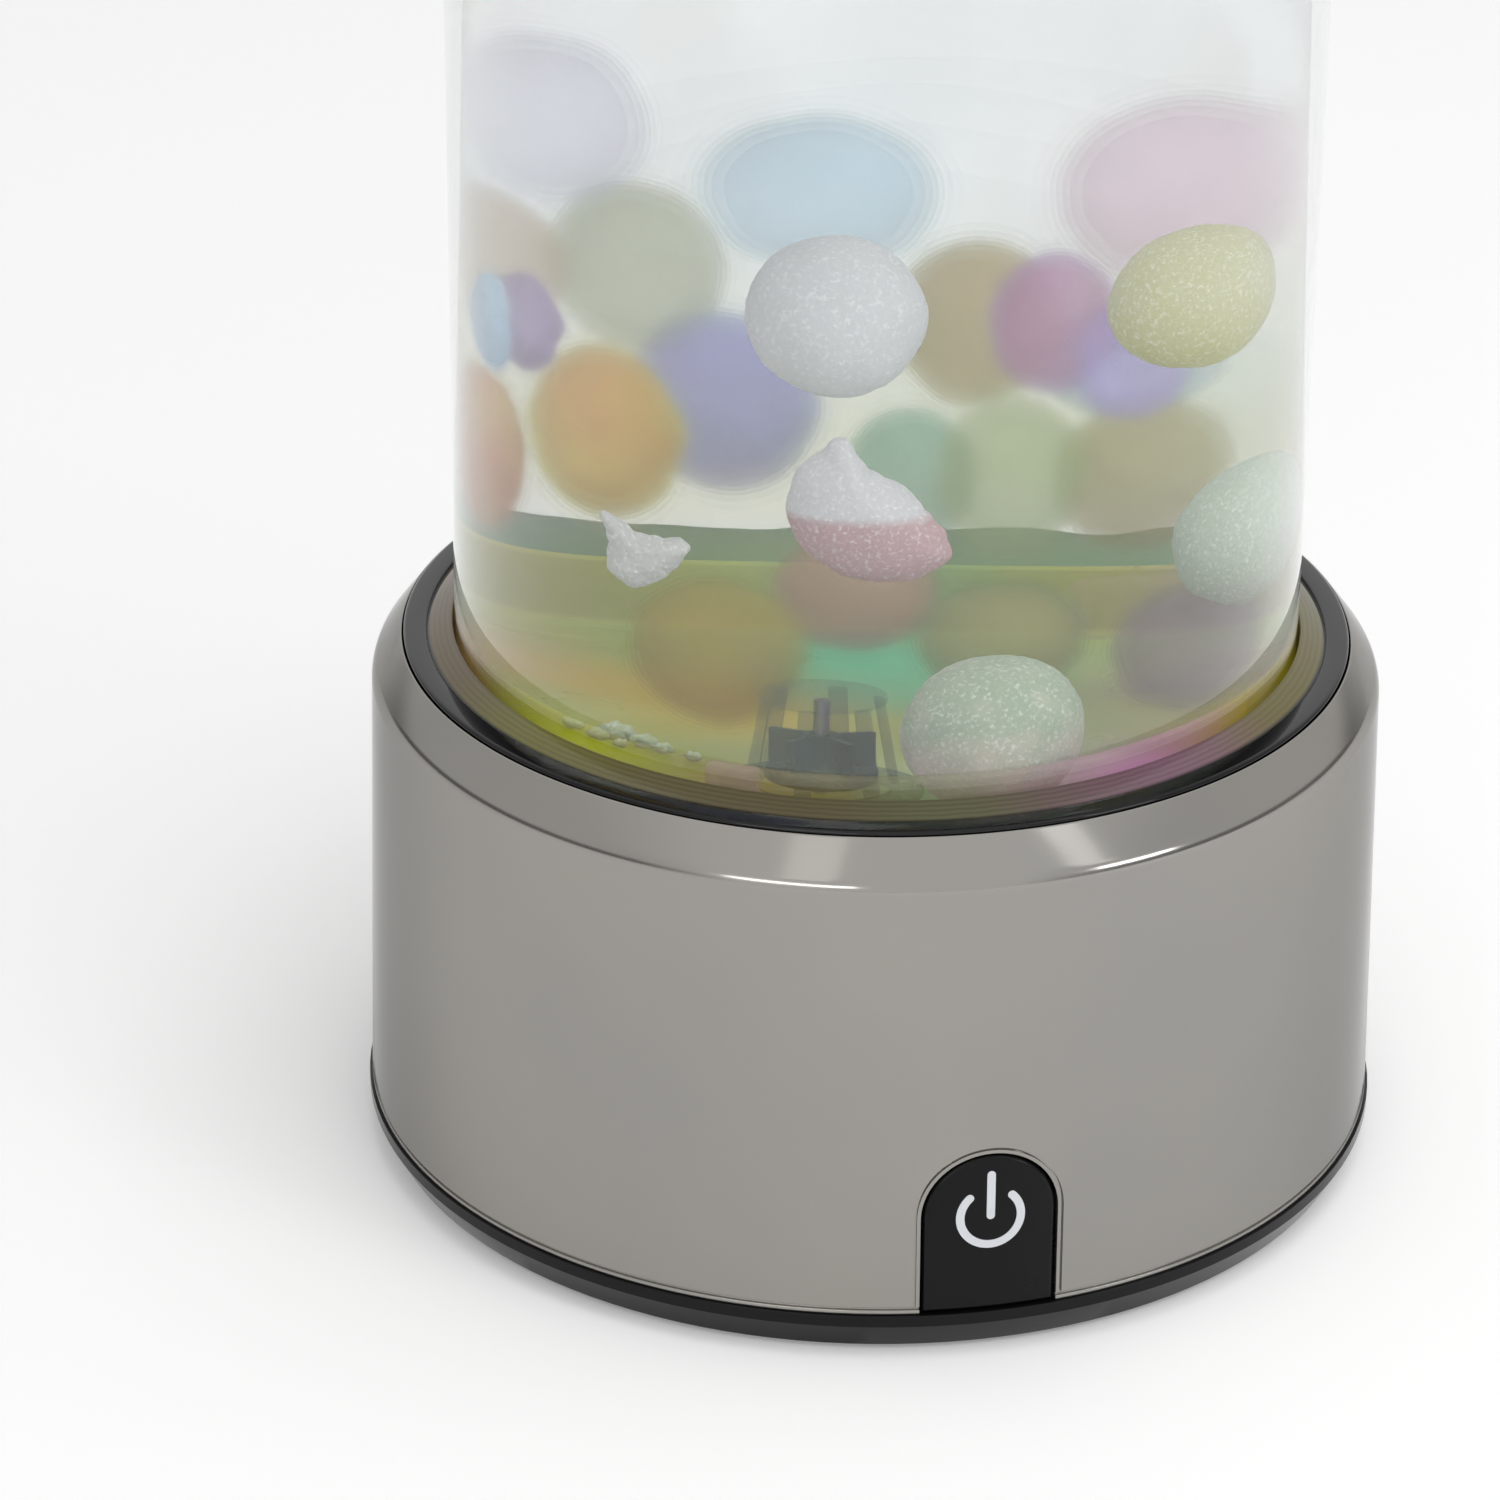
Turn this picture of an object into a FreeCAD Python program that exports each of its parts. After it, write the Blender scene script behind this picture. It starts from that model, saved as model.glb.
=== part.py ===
import FreeCAD, Part
import math
import os

# Liquid motion lamp: a round drafted base with a rocking power key, a clear tank of
# liquid and wax above it, a magnet-driven impeller in the tank, and a matching cap.
# Millimetres. +Z is up and -Y is the front, where the key is. The origin is on the
# surface that the rubber feet stand on, in the middle of the base.

# Feet and tray
foot_radius = 6.0
foot_thickness = 1.0
foot_sides = 8
foot_inset = 11.0
tray_floor = 2.4
rim_overhang = 0.4
rim_taper_inset = 2.4
rim_taper_height = 4.25
rim_band_height = 1.75
tray_wall = 5.1
tab_count = 6
tab_width = 16.0
tab_thickness = 2.0
tab_height = 4.0
tab_clearance = 0.2
boss_height = 2.0
socket_wall = 2.0
socket_height = 3.0
vent_count = 6
vent_width = 3.0
vent_inner = 14.0
vent_outer = 27.0

# Base shell
shell_side_height = 66.45
shoulder_width = 5.9
shoulder_rise = 5.85
shell_wall = 3.9
opening_lip = 5.8

# Collar round the tank
collar_width = 7.5
collar_gap = 0.2
collar_flat_width = 3.5
collar_flat_rise = 0.4
collar_inner_rise = 1.7
collar_bore_clearance = 0.3

# Tank
tube_radius = 61.4
tube_wall = 3.0
tube_length = 258.0
glue_gap = 0.05
floor_thickness = 3.0
floor_rim_height = 10.0
floor_rim_wall = 2.3
lug_count = 4
lug_start_angle = -33.5
lug_width = 7.0
lug_depth = 4.0
lug_height = 9.0

# Cradle under the tank: plate, faceted light bowl and four square legs in one moulding
tank_sink = 9.3
cradle_thickness = 4.0
cradle_overlap = 5.5
cradle_sides = 16
bowl_leg_offset = 9.0
bowl_taper = 2.5
bowl_depth = 11.5
bowl_wall = 1.5
leg_inset = 6.4
leg_width = 11.0
leg_upper_width = 8.0
leg_clearance = 0.1

# Light board
led_board_width = 52.0
led_board_depth = 44.0
led_board_gap = 1.7
board_thickness = 1.6
led_size = 5.0
led_height = 1.6
led_columns = (-18.0, -6.0, 6.0, 18.0)
led_rows = (-14.0, 0.0, 14.0)

# Stirring drive: motor, magnet hub and impeller stand on one upright axis
drive_x = -13.3
drive_y = -28.7
motor_radius = 12.2
motor_sides = 16
motor_height = 15.0
motor_boss_radius = 3.2
motor_boss_sides = 8
motor_boss_height = 1.2
shaft_show = 5.6
mount_plate = 2.4
mount_wall = 2.0
mount_sides = 8
mount_finger_count = 4
mount_finger_width = 6.0
mount_finger_height = 9.0
mount_clearance = 0.15
mount_eye_width = 13.0
mount_arm_width = 8.0
shaft_radius = 1.0
shaft_hub_depth = 5.0
hub_radius = 7.5
wheel_sides = 16
hub_height = 6.0
hub_to_floor = 1.3
hub_pass_clearance = 1.5
drive_magnet_radius = 2.5
drive_magnet_height = 3.0
drive_magnet_offset = 4.4
magnet_sides = 8

# Impeller and its cage
cage_flange_radius = 12.5
cage_flange_height = 1.2
cage_bottom_radius = 9.5
cage_top_radius = 8.0
cage_height = 15.0
cage_sides = 12
cage_wall = 1.0
cage_bar_count = 6
cage_bar_width = 2.2
cage_bar_depth = 0.9
cage_bar_inset = 0.5
axle_radius = 1.0
axle_clearance = 0.05
impeller_radius = 7.0
impeller_lift = 1.9
impeller_disc = 2.0
impeller_vane_height = 5.0
impeller_vane_width = 0.9
impeller_vane_count = 5
impeller_vane_reach = 6.6
impeller_hub_radius = 2.4
impeller_hub_sides = 6
impeller_magnet_radius = 1.8
impeller_magnet_height = 1.4
impeller_magnet_offset = 4.6

# Power key, its hinge and its switch
key_width = 18.9
key_arch_height = 22.1
key_gap = 0.4
key_foot_gap = 0.25
key_thickness = 2.4
key_lug_width = 2.6
key_lug_inset = 0.65
hinge_depth = 7.3
hinge_z = 9.7
hinge_radius = 1.0
hinge_key_clearance = 0.04
hinge_ear_clearance = 0.02
hinge_wall = 1.1
ear_gap = 0.55
ear_width = 2.6
ear_gusset_depth = 4.0
ear_gusset_rise = 6.0
pusher_width = 5.0
pusher_depth = 6.75
pusher_gap = 0.6
switch_button_width = 3.2
switch_button_length = 0.95
switch_size = 6.0
switch_depth = 3.5
bracket_ear_margin = 1.0
bracket_plate = 2.0
bracket_foot_lead = 0.6
bracket_foot_length = 15.6
bracket_board_margin = 1.4
bracket_screw_x = 9.0
bracket_screw_margin = 4.0
bracket_boss_radius = 3.5
switch_board_width = 18.0
switch_board_height = 15.0

# Control board and inlet
main_board_width = 50.0
main_board_depth = 38.0
main_board_setback = 13.0
main_board_height = 10.0
tongue_width = 12.0
tongue_setback = 2.3
standoff_radius = 3.0
standoff_margin = 4.0
jack_width = 9.0
jack_length = 14.4
jack_height = 11.0
jack_setback = 4.2
jack_bore_radius = 3.2
jack_bore_depth = 11.0
jack_pin_radius = 1.0
jack_pin_length = 9.5
jack_pin_sides = 8
jack_hole_margin = 0.8
board_blocks = [
    (-14, -2, 6, 15, 1.8),
    (4, 14, 4, 9, 6.0),
    (6, 14, 18, 26, 5.0),
]
capacitor_place = (-12, 26)
capacitor_radius = 4.0
capacitor_height = 11.0

# Screws: shank radius, head radius, head height
case_screw = (1.5, 2.9, 1.4)
case_screw_bite = 10.0
board_screw = (1.25, 2.25, 1.4)
board_screw_bite = 4.0
bracket_screw_bite = 2.4
screw_clearance = 0.1
pilot_clearance = 0.03
pilot_depth = 0.4
screw_sides = 8
head_sides = 6

# Top: lid on the tube, filler screw and cap
lid_thickness = 3.0
lid_sides = 48
filler_radius = 4.0
filler_head_radius = 7.0
filler_head_height = 2.2
filler_clearance = 0.05
filler_sides = 8
cap_overlap = 5.5
cap_clearance = 0.3
cap_stand_out = 4.6
cap_height = 37.5
cap_chamfer = 3.0
cap_roof = 2.5
cap_rib_count = 3
cap_rib_width = 4.0
cap_rib_length = 12.0

# Wax pieces: x, y, height above the tank floor and radius of each
white_balls = [
    (-10.6, -22.1, 67.8, 10.6),
    (31.4, -21.9, 68.2, 11.5),
    (38.7, -17.5, 29.9, 11.0),
    (5.1, -43.4, 11.9, 11.8),
]
white_ball_squash = 0.94
white_drop = (-9.2, -30.7, 37.5, 8.5)
drop_profile = [
    (-1.0, 0.3), (-0.8, 0.68), (-0.3, 0.97), (0.2, 0.94),
    (0.65, 0.62), (1.1, 0.28), (1.5, 0.06),
]
drop_tilt = 28.0
white_chip = (-39.1, -33.8, 35.6, 5.5)
chip_outline = [
    (-1.0, 0.7), (-0.85, -0.2), (-0.5, -0.95), (0.2, -0.75),
    (0.5, -0.1), (1.0, 0.25), (0.8, 0.55), (-0.2, 0.35),
]
chip_thickness = 5.0
chip_turn = -40.0
pastel_wax = {
    "wax_lilac": [(-31.9, 13.8, 86.5, 11.0), (-44.9, -5.7, 62.0, 5.5)],
    "wax_blue": [(-1.7, 18.9, 75.0, 10.0), (28.0, 28.3, 46.7, 8.0)],
    "wax_green": [(-17.3, 24.7, 62.6, 8.5), (13.7, -1.2, 38.5, 8.0)],
    "wax_rose": [(31.4, 15.1, 73.9, 9.5), (16.7, -6.1, 60.7, 8.0), (-2.2, 0.5, 19.0, 8.0)],
    "wax_orange": [(-28.7, 4.8, 43.6, 9.5), (-46.0, 4.9, 39.5, 7.0), (-19.1, -5.7, 13.7, 8.5)],
    "wax_violet": [(-10.2, 21.0, 44.3, 8.0), (32.3, -5.7, 9.3, 7.5)],
    "wax_tan": [(13.7, 19.3, 55.4, 8.0), (27.9, 7.7, 34.7, 8.0), (-33.6, 22.5, 63.3, 6.0)],
    "wax_teal": [(6.2, 21.1, 33.1, 7.5), (12.0, -7.0, 15.7, 7.5)],
}
white_sides = 8
white_rises = (-0.95, -0.5, 0.0, 0.5, 0.95)
pastel_sides = 6
pastel_rises = (-0.85, -0.1, 0.75)
pastel_squash = 1.0

# Base sizes that follow, from the tank outwards
collar_radius = tube_radius + collar_width
opening_radius = collar_radius + collar_gap
shell_radius = opening_radius + shoulder_width
shell_inner = shell_radius - shell_wall
rim_radius = shell_radius + rim_overhang
rim_bottom_radius = rim_radius - rim_taper_inset
tray_inner = rim_radius - tray_wall
foot_circle = rim_bottom_radius - foot_inset
tray_under = foot_thickness
tray_top = tray_under + tray_floor
lip_top = tray_under + rim_taper_height + rim_band_height
boss_top = tray_top + boss_height
tab_top = lip_top + tab_height
crease_z = lip_top + shell_side_height
shoulder_z = crease_z + shoulder_rise
opening_bottom = shoulder_z - opening_lip

# Tank, cradle and light board
tube_bottom = shoulder_z - tank_sink
tube_top = tube_bottom + tube_length
tube_inner = tube_radius - tube_wall
floor_top = tube_bottom + floor_thickness
cradle_top = tube_bottom
cradle_bottom = cradle_top - cradle_thickness
leg_circle = tube_radius - leg_inset
bowl_mouth_radius = leg_circle - bowl_leg_offset
bowl_floor_radius = bowl_mouth_radius - bowl_taper
bowl_floor_top = cradle_top - bowl_depth
led_board_top = bowl_floor_top + board_thickness
led_board_front = drive_y + hub_radius + hub_pass_clearance + led_board_gap
led_board_back = led_board_front + led_board_depth

# Drive, from the tank floor down
hub_top = tube_bottom - hub_to_floor
hub_bottom = hub_top - hub_height
motor_boss_top = hub_bottom - shaft_show
motor_top = motor_boss_top - motor_boss_height
motor_bottom = motor_top - motor_height
leg_shoulder = motor_bottom - mount_plate

# Key and switch, from the shell's front inwards
key_half = key_width / 2
key_cut_half = key_half + key_gap
key_lug_centre = key_half - key_lug_inset - key_lug_width / 2
hinge_y = hinge_depth - shell_radius
ear_centre = key_half + ear_gap + ear_width / 2
pusher_end = pusher_depth - shell_radius
switch_button_front = pusher_end + pusher_gap
switch_front = switch_button_front + switch_button_length
switch_back = switch_front + switch_depth
bracket_half_width = ear_centre + ear_width / 2 + bracket_ear_margin
bracket_front = hinge_y + bracket_foot_lead
bracket_back = bracket_front + bracket_foot_length
bracket_top = key_arch_height + switch_board_height / 2 + bracket_board_margin
bracket_screw_y = bracket_back - bracket_screw_margin
bracket_wall_front = switch_back + board_thickness
bracket_wall_back = bracket_wall_front + bracket_plate

# Control board and inlet, from the shell's back inwards
jack_front = shell_radius - jack_setback
tongue_back = jack_front - tongue_setback
main_board_back = shell_radius - main_board_setback
main_board_front = main_board_back - main_board_depth
main_board_top = main_board_height + board_thickness
standoff_x = main_board_width / 2 - standoff_margin
standoff_front = main_board_front + standoff_margin
standoff_back = main_board_back - standoff_margin
jack_centre_z = main_board_top + jack_height / 2
jack_hole_radius = jack_bore_radius + jack_hole_margin

# Lid and cap
lid_top = tube_top + lid_thickness
cap_inner = tube_radius + cap_clearance
cap_radius = tube_radius + cap_stand_out
cap_bottom = tube_top - cap_overlap
cap_top = cap_bottom + cap_height

diagonals = [45, 135, 225, 315]
up = FreeCAD.Vector(0, 0, 1)
down = FreeCAD.Vector(0, 0, -1)
inward = FreeCAD.Vector(0, 1, 0)
centre = FreeCAD.Vector(0, 0, 0)


# Shapes that the parts below are made of

def outline(corners, place):
    # closed wire through corners (a, b) or (a, b, rounding), where place gives each its point
    starts, middles, ends = [], [], []
    for index, corner in enumerate(corners):
        here = place(corner[0], corner[1])
        before = place(*corners[index - 1][:2])
        after = place(*corners[(index + 1) % len(corners)][:2])
        rounding = corner[2] if len(corner) > 2 else 0
        back = (before - here).normalize()
        ahead = (after - here).normalize()
        half = back.getAngle(ahead) / 2
        reach = rounding / math.tan(half)
        bisector = (back + ahead).normalize() if rounding else up
        starts.append(here + back * reach)
        ends.append(here + ahead * reach)
        middles.append(here + bisector * (rounding / math.sin(half) - rounding))
    edges = []
    for index, corner in enumerate(corners):
        if len(corner) > 2:
            edges.append(Part.Arc(starts[index], middles[index], ends[index]).toShape())
        following = starts[(index + 1) % len(corners)]
        if (following - ends[index]).Length > 1e-6:
            edges.append(Part.LineSegment(ends[index], following).toShape())
    return Part.Wire(edges)


def turned(corners, x=0, y=0):
    # solid of revolution about the upright axis at x, y, from corners (radius, z)
    face = Part.Face(outline(corners, lambda a, b: FreeCAD.Vector(a, 0, b)))
    solid = face.revolve(centre, up, 360)
    solid.translate(FreeCAD.Vector(x, y, 0))
    return solid


def plate(corners, low, high):
    # flat piece with corners (x, y), from one height to another
    face = Part.Face(outline(corners, lambda a, b: FreeCAD.Vector(a, b, low)))
    return face.extrude(FreeCAD.Vector(0, 0, high - low))


def sideways(corners, left, right):
    # piece with one outline (y, z) all along X
    face = Part.Face(outline(corners, lambda a, b: FreeCAD.Vector(left, a, b)))
    return face.extrude(FreeCAD.Vector(right - left, 0, 0))


def block(x_low, x_high, y_low, y_high, z_low, z_high):
    corner = FreeCAD.Vector(x_low, y_low, z_low)
    return Part.makeBox(x_high - x_low, y_high - y_low, z_high - z_low, corner)


def square_bar(width, low, high, y=0):
    return block(-width / 2, width / 2, y - width / 2, y + width / 2, low, high)


def rod(radius, low, high, x=0, y=0):
    return Part.makeCylinder(radius, high - low, FreeCAD.Vector(x, y, low), up)


def rod_across(radius, left, right, y, z):
    start = FreeCAD.Vector(left, y, z)
    return Part.makeCylinder(radius, right - left, start, FreeCAD.Vector(1, 0, 0))


def rod_inward(radius, front, back, x, z):
    return Part.makeCylinder(radius, back - front, FreeCAD.Vector(x, front, z), inward)


def bar_inward(width, front, back, z):
    return block(-width / 2, width / 2, front, back, z - width / 2, z + width / 2)


def ring_points(radius, z, sides, x=0, y=0):
    points = []
    for side in range(sides):
        turn = 2 * math.pi * (side + 0.5) / sides
        points.append(FreeCAD.Vector(x + radius * math.cos(turn), y + radius * math.sin(turn), z))
    return points


def prism(sides, radius, start, length, direction):
    # bar with a regular outline, for what is small, hidden or repeated
    points = ring_points(radius, 0, sides)
    bar = Part.Face(Part.makePolygon(points + points[:1])).extrude(up * length)
    bar.Placement = FreeCAD.Placement(start, FreeCAD.Rotation(up, direction))
    return bar


def faceted(rings):
    # closed solid with flat faces between many-sided rings, one above the other
    faces = [Part.Face(Part.makePolygon(ring + ring[:1])) for ring in (rings[0], rings[-1])]
    for lower, upper in zip(rings, rings[1:]):
        for side in range(len(lower)):
            following = (side + 1) % len(lower)
            corners = [lower[side], lower[following], upper[following], upper[side]]
            faces.append(Part.Face(Part.makePolygon(corners + corners[:1])))
    solid = Part.Solid(Part.Shell(faces))
    if solid.Volume < 0:
        solid.reverse()
    return solid


def on_circle(radius, angle):
    # x and y at an angle in degrees from the front, towards +X
    return radius * math.sin(math.radians(angle)), -radius * math.cos(math.radians(angle))


def turned_to(solid, angle, x=0, y=0):
    copy = solid.copy()
    copy.rotate(FreeCAD.Vector(x, y, 0), up, angle)
    return copy


def around(solid, count, x=0, y=0):
    return [turned_to(solid, 360 * step / count, x, y) for step in range(count)]


def joined(solids):
    return solids[0].multiFuse(solids[1:]).removeSplitter()


def without(solid, cuts):
    return solid.cut(Part.makeCompound(cuts)).removeSplitter()


def screw(kind, seat, length, direction):
    # screw whose head stands on the seat point and whose shank runs along direction
    shank_radius, head_radius, head_height = kind
    shank = prism(screw_sides, shank_radius, seat, length, direction)
    head = prism(head_sides, head_radius, seat - direction * head_height, head_height, direction)
    return joined([shank, head])


def hole(kind, seat, length, direction, clearance):
    return prism(screw_sides, kind[0] + clearance, seat, length, direction)


def save(name, solids):
    shape = Part.makeCompound(solids) if isinstance(solids, list) else solids
    shape.exportStep("parts/" + name + ".step")
    count = len(shape.Solids)
    print(name, count, "solids", round(shape.Volume), "mm3", "valid", shape.isValid())


# Base shell: drafted side, crease and sloped shoulder round the opening

def arch(half_width, low, front, back):
    # upright arch of the key or its window, as a solid from front to back
    top = FreeCAD.Vector(0, front, key_arch_height + half_width)
    left = FreeCAD.Vector(-half_width, front, key_arch_height)
    right = FreeCAD.Vector(half_width, front, key_arch_height)
    foot_left = FreeCAD.Vector(-half_width, front, low)
    foot_right = FreeCAD.Vector(half_width, front, low)
    edges = [
        Part.Arc(left, top, right).toShape(),
        Part.LineSegment(right, foot_right).toShape(),
        Part.LineSegment(foot_right, foot_left).toShape(),
        Part.LineSegment(foot_left, left).toShape(),
    ]
    return Part.Face(Part.Wire(edges)).extrude(FreeCAD.Vector(0, back - front, 0))


def make_shell():
    body = turned([
        (shell_inner, lip_top),
        (shell_radius, lip_top),
        (shell_radius, crease_z),
        (opening_radius, shoulder_z),
        (opening_radius, opening_bottom),
        (shell_inner, opening_bottom),
    ])
    window = arch(key_cut_half, lip_top - 1, -shell_radius - 5, -shell_radius / 2)
    inlet = rod_inward(jack_hole_radius, shell_radius / 2, shell_radius + 5, 0, jack_centre_z)
    return without(body, [window, inlet])


# Tray: floor, stepped foot rim, tabs inside the shell, and what stands on it

def make_tabs():
    half = tab_width / 2
    outer = math.sqrt((shell_inner - tab_clearance) ** 2 - half ** 2)
    tab = block(-half, half, -outer, tab_thickness - outer, tray_top - 1, tab_top)
    # turned by half a step, so that none stands behind the key
    return [turned_to(each, 180 / tab_count) for each in around(tab, tab_count)]


def make_tray():
    body = turned([
        (0, tray_under),
        (rim_bottom_radius, tray_under),
        (rim_radius, tray_under + rim_taper_height),
        (rim_radius, lip_top),
        (tray_inner, lip_top),
        (tray_inner, tray_top),
        (0, tray_top),
    ])
    socket_top = tray_top + socket_height
    inside_width = leg_width + 2 * leg_clearance
    inside = square_bar(inside_width, tray_top, socket_top + 1, -leg_circle)
    socket = square_bar(inside_width + 2 * socket_wall, tray_under + 1, socket_top, -leg_circle)
    added = make_tabs()
    removed = []
    for angle in diagonals:
        added.append(turned_to(socket.cut(inside), angle))
        x, y = on_circle(leg_circle, angle)
        seat = FreeCAD.Vector(x, y, tray_under - 1)
        removed.append(hole(case_screw, seat, tray_floor + 2, up, screw_clearance))
        pocket_radius = case_screw[1] + 2 * screw_clearance
        removed.append(prism(head_sides, pocket_radius, seat, case_screw[2] + 1, up))
    for side in (-1, 1):
        foot = FreeCAD.Vector(side * bracket_screw_x, bracket_screw_y, tray_under + 1)
        added.append(prism(head_sides, bracket_boss_radius, foot, boss_top - foot.z, up))
        top = FreeCAD.Vector(foot.x, foot.y, boss_top)
        removed.append(hole(board_screw, top, bracket_screw_bite + pilot_depth, down, pilot_clearance))
    for x, y in board_screw_places():
        foot = FreeCAD.Vector(x, y, tray_under + 1)
        added.append(prism(head_sides, standoff_radius, foot, main_board_height - foot.z, up))
        top = FreeCAD.Vector(x, y, main_board_height)
        removed.append(hole(board_screw, top, board_screw_bite + pilot_depth, down, pilot_clearance))
    vent = block(-vent_width / 2, vent_width / 2, vent_inner, vent_outer, tray_under - 1, tray_top + 1)
    removed += around(vent, vent_count)
    return without(joined([body] + added), removed)


def make_feet():
    x, y = on_circle(foot_circle, 0)
    foot = prism(foot_sides, foot_radius, FreeCAD.Vector(x, y, 0), foot_thickness, up)
    return around(foot, 4)


def make_case_screws():
    screws = []
    for angle in diagonals:
        x, y = on_circle(leg_circle, angle)
        seat = FreeCAD.Vector(x, y, tray_under + case_screw[2])
        length = tray_top - seat.z + case_screw_bite
        screws.append(screw(case_screw, seat, length, up))
    return screws


# Cradle: ring under the tank, light bowl inside it and four legs

def make_cradle():
    plate_radius = tube_radius + cradle_overlap
    bottom = FreeCAD.Vector(0, 0, cradle_bottom)
    plate_body = prism(cradle_sides, plate_radius, bottom, cradle_thickness, up)
    bowl = faceted([
        ring_points(bowl_floor_radius + bowl_wall, bowl_floor_top - bowl_wall, cradle_sides),
        ring_points(bowl_mouth_radius + bowl_wall, cradle_bottom + 1, cradle_sides),
    ])
    inside = faceted([
        ring_points(bowl_floor_radius, bowl_floor_top, cradle_sides),
        ring_points(bowl_mouth_radius, cradle_top, cradle_sides),
        ring_points(bowl_mouth_radius, cradle_top + 1, cradle_sides),
    ])
    pass_foot = FreeCAD.Vector(drive_x, drive_y, bowl_floor_top - bowl_wall - 1)
    hub_pass = prism(cradle_sides, hub_radius + hub_pass_clearance, pass_foot, bowl_wall + 2, up)
    lower = square_bar(leg_width, tray_top, leg_shoulder, -leg_circle)
    upper = square_bar(leg_upper_width, leg_shoulder, cradle_bottom + 1, -leg_circle)
    seat = FreeCAD.Vector(0, -leg_circle, tray_top)
    pilot = hole(case_screw, seat, case_screw_bite + pilot_depth, up, pilot_clearance)
    leg = joined([lower, upper]).cut(pilot)
    legs = [turned_to(leg, angle) for angle in diagonals]
    return without(joined([plate_body, bowl] + legs), [inside, hub_pass])


def make_led_board():
    half = led_board_width / 2
    return block(-half, half, led_board_front, led_board_back, bowl_floor_top, led_board_top)


def make_leds(first):
    # every third light of the grid, beginning with the given one
    half = led_size / 2
    middle = (led_board_front + led_board_back) / 2
    places = [(x, middle + y) for y in led_rows for x in led_columns]
    top = led_board_top + led_height
    lights = []
    for x, y in places[first::3]:
        lights.append(block(x - half, x + half, y - half, y + half, led_board_top, top))
    return lights


# Stirring drive

def make_mount():
    # plate on the leg shoulders, with fingers that hold the motor
    reach = motor_radius + mount_clearance
    foot = FreeCAD.Vector(drive_x, drive_y, leg_shoulder)
    pieces = [prism(mount_sides, reach + mount_wall, foot, mount_plate, up)]
    half_finger = mount_finger_width / 2
    finger = block(
        drive_x + reach, drive_x + reach + mount_wall,
        drive_y - half_finger, drive_y + half_finger,
        leg_shoulder, motor_bottom + mount_finger_height,
    )
    pieces += around(finger, mount_finger_count, drive_x, drive_y)
    eye = square_bar(mount_eye_width, leg_shoulder, motor_bottom, -leg_circle)
    eye_hole = leg_upper_width + 2 * leg_clearance
    opening = square_bar(eye_hole, leg_shoulder - 1, motor_bottom + 1, -leg_circle)
    holes = []
    half = mount_arm_width / 2
    for angle in diagonals:
        pieces.append(turned_to(eye, angle))
        holes.append(turned_to(opening, angle))
        x, y = on_circle(leg_circle, angle)
        length = math.hypot(x - drive_x, y - drive_y)
        arm = block(0, length, -half, half, leg_shoulder, motor_bottom)
        arm.rotate(centre, up, math.degrees(math.atan2(y - drive_y, x - drive_x)))
        arm.translate(FreeCAD.Vector(drive_x, drive_y, 0))
        pieces.append(arm)
    return without(joined(pieces), holes)


def make_motor():
    foot = FreeCAD.Vector(drive_x, drive_y, motor_bottom)
    can = prism(motor_sides, motor_radius, foot, motor_top - motor_bottom, up)
    shoulder = FreeCAD.Vector(drive_x, drive_y, motor_top - 1)
    boss = prism(motor_boss_sides, motor_boss_radius, shoulder, motor_boss_top - shoulder.z, up)
    return joined([can, boss])


def make_shaft():
    return rod(shaft_radius, motor_boss_top, hub_bottom + shaft_hub_depth, drive_x, drive_y)


def magnets(radius, low, high, offset):
    places = [FreeCAD.Vector(drive_x + side * offset, drive_y, low) for side in (-1, 1)]
    return [prism(magnet_sides, radius, place, high - low, up) for place in places]


def make_drive_magnets():
    return magnets(drive_magnet_radius, hub_top - drive_magnet_height, hub_top, drive_magnet_offset)


def make_hub():
    foot = FreeCAD.Vector(drive_x, drive_y, hub_bottom)
    hub = prism(wheel_sides, hub_radius, foot, hub_height, up)
    bore = rod(shaft_radius, hub_bottom - 1, hub_bottom + shaft_hub_depth, drive_x, drive_y)
    return without(hub, [bore] + make_drive_magnets())


# Cage on the tank floor, with the impeller turning inside it

def make_cage():
    # foot and lid, held apart by upright bars that lean inwards
    flange_top = floor_top + cage_flange_height
    lid_bottom = floor_top + cage_height - cage_wall
    foot = FreeCAD.Vector(drive_x, drive_y, floor_top)
    plinth = prism(cage_sides, cage_flange_radius, foot, cage_flange_height, up)
    inside = prism(cage_sides, cage_bottom_radius - cage_wall, foot, cage_flange_height, up)
    lid_foot = FreeCAD.Vector(drive_x, drive_y, lid_bottom)
    lid = prism(cage_sides, cage_top_radius, lid_foot, cage_wall, up)
    bar_top = cage_top_radius - cage_bar_inset
    half = cage_bar_width / 2
    bar = sideways([
        (-cage_bottom_radius, flange_top),
        (cage_bar_depth - cage_bottom_radius, flange_top),
        (cage_bar_depth - bar_top, lid_bottom),
        (-bar_top, lid_bottom),
    ], -half, half)
    bar.translate(FreeCAD.Vector(drive_x, drive_y, 0))
    return joined([plinth.cut(inside), lid] + around(bar, cage_bar_count, drive_x, drive_y))


def make_axle():
    return rod(axle_radius, floor_top, floor_top + cage_height - cage_wall, drive_x, drive_y)


def make_impeller_magnets():
    low = floor_top + impeller_lift
    return magnets(impeller_magnet_radius, low, low + impeller_magnet_height, impeller_magnet_offset)


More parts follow.
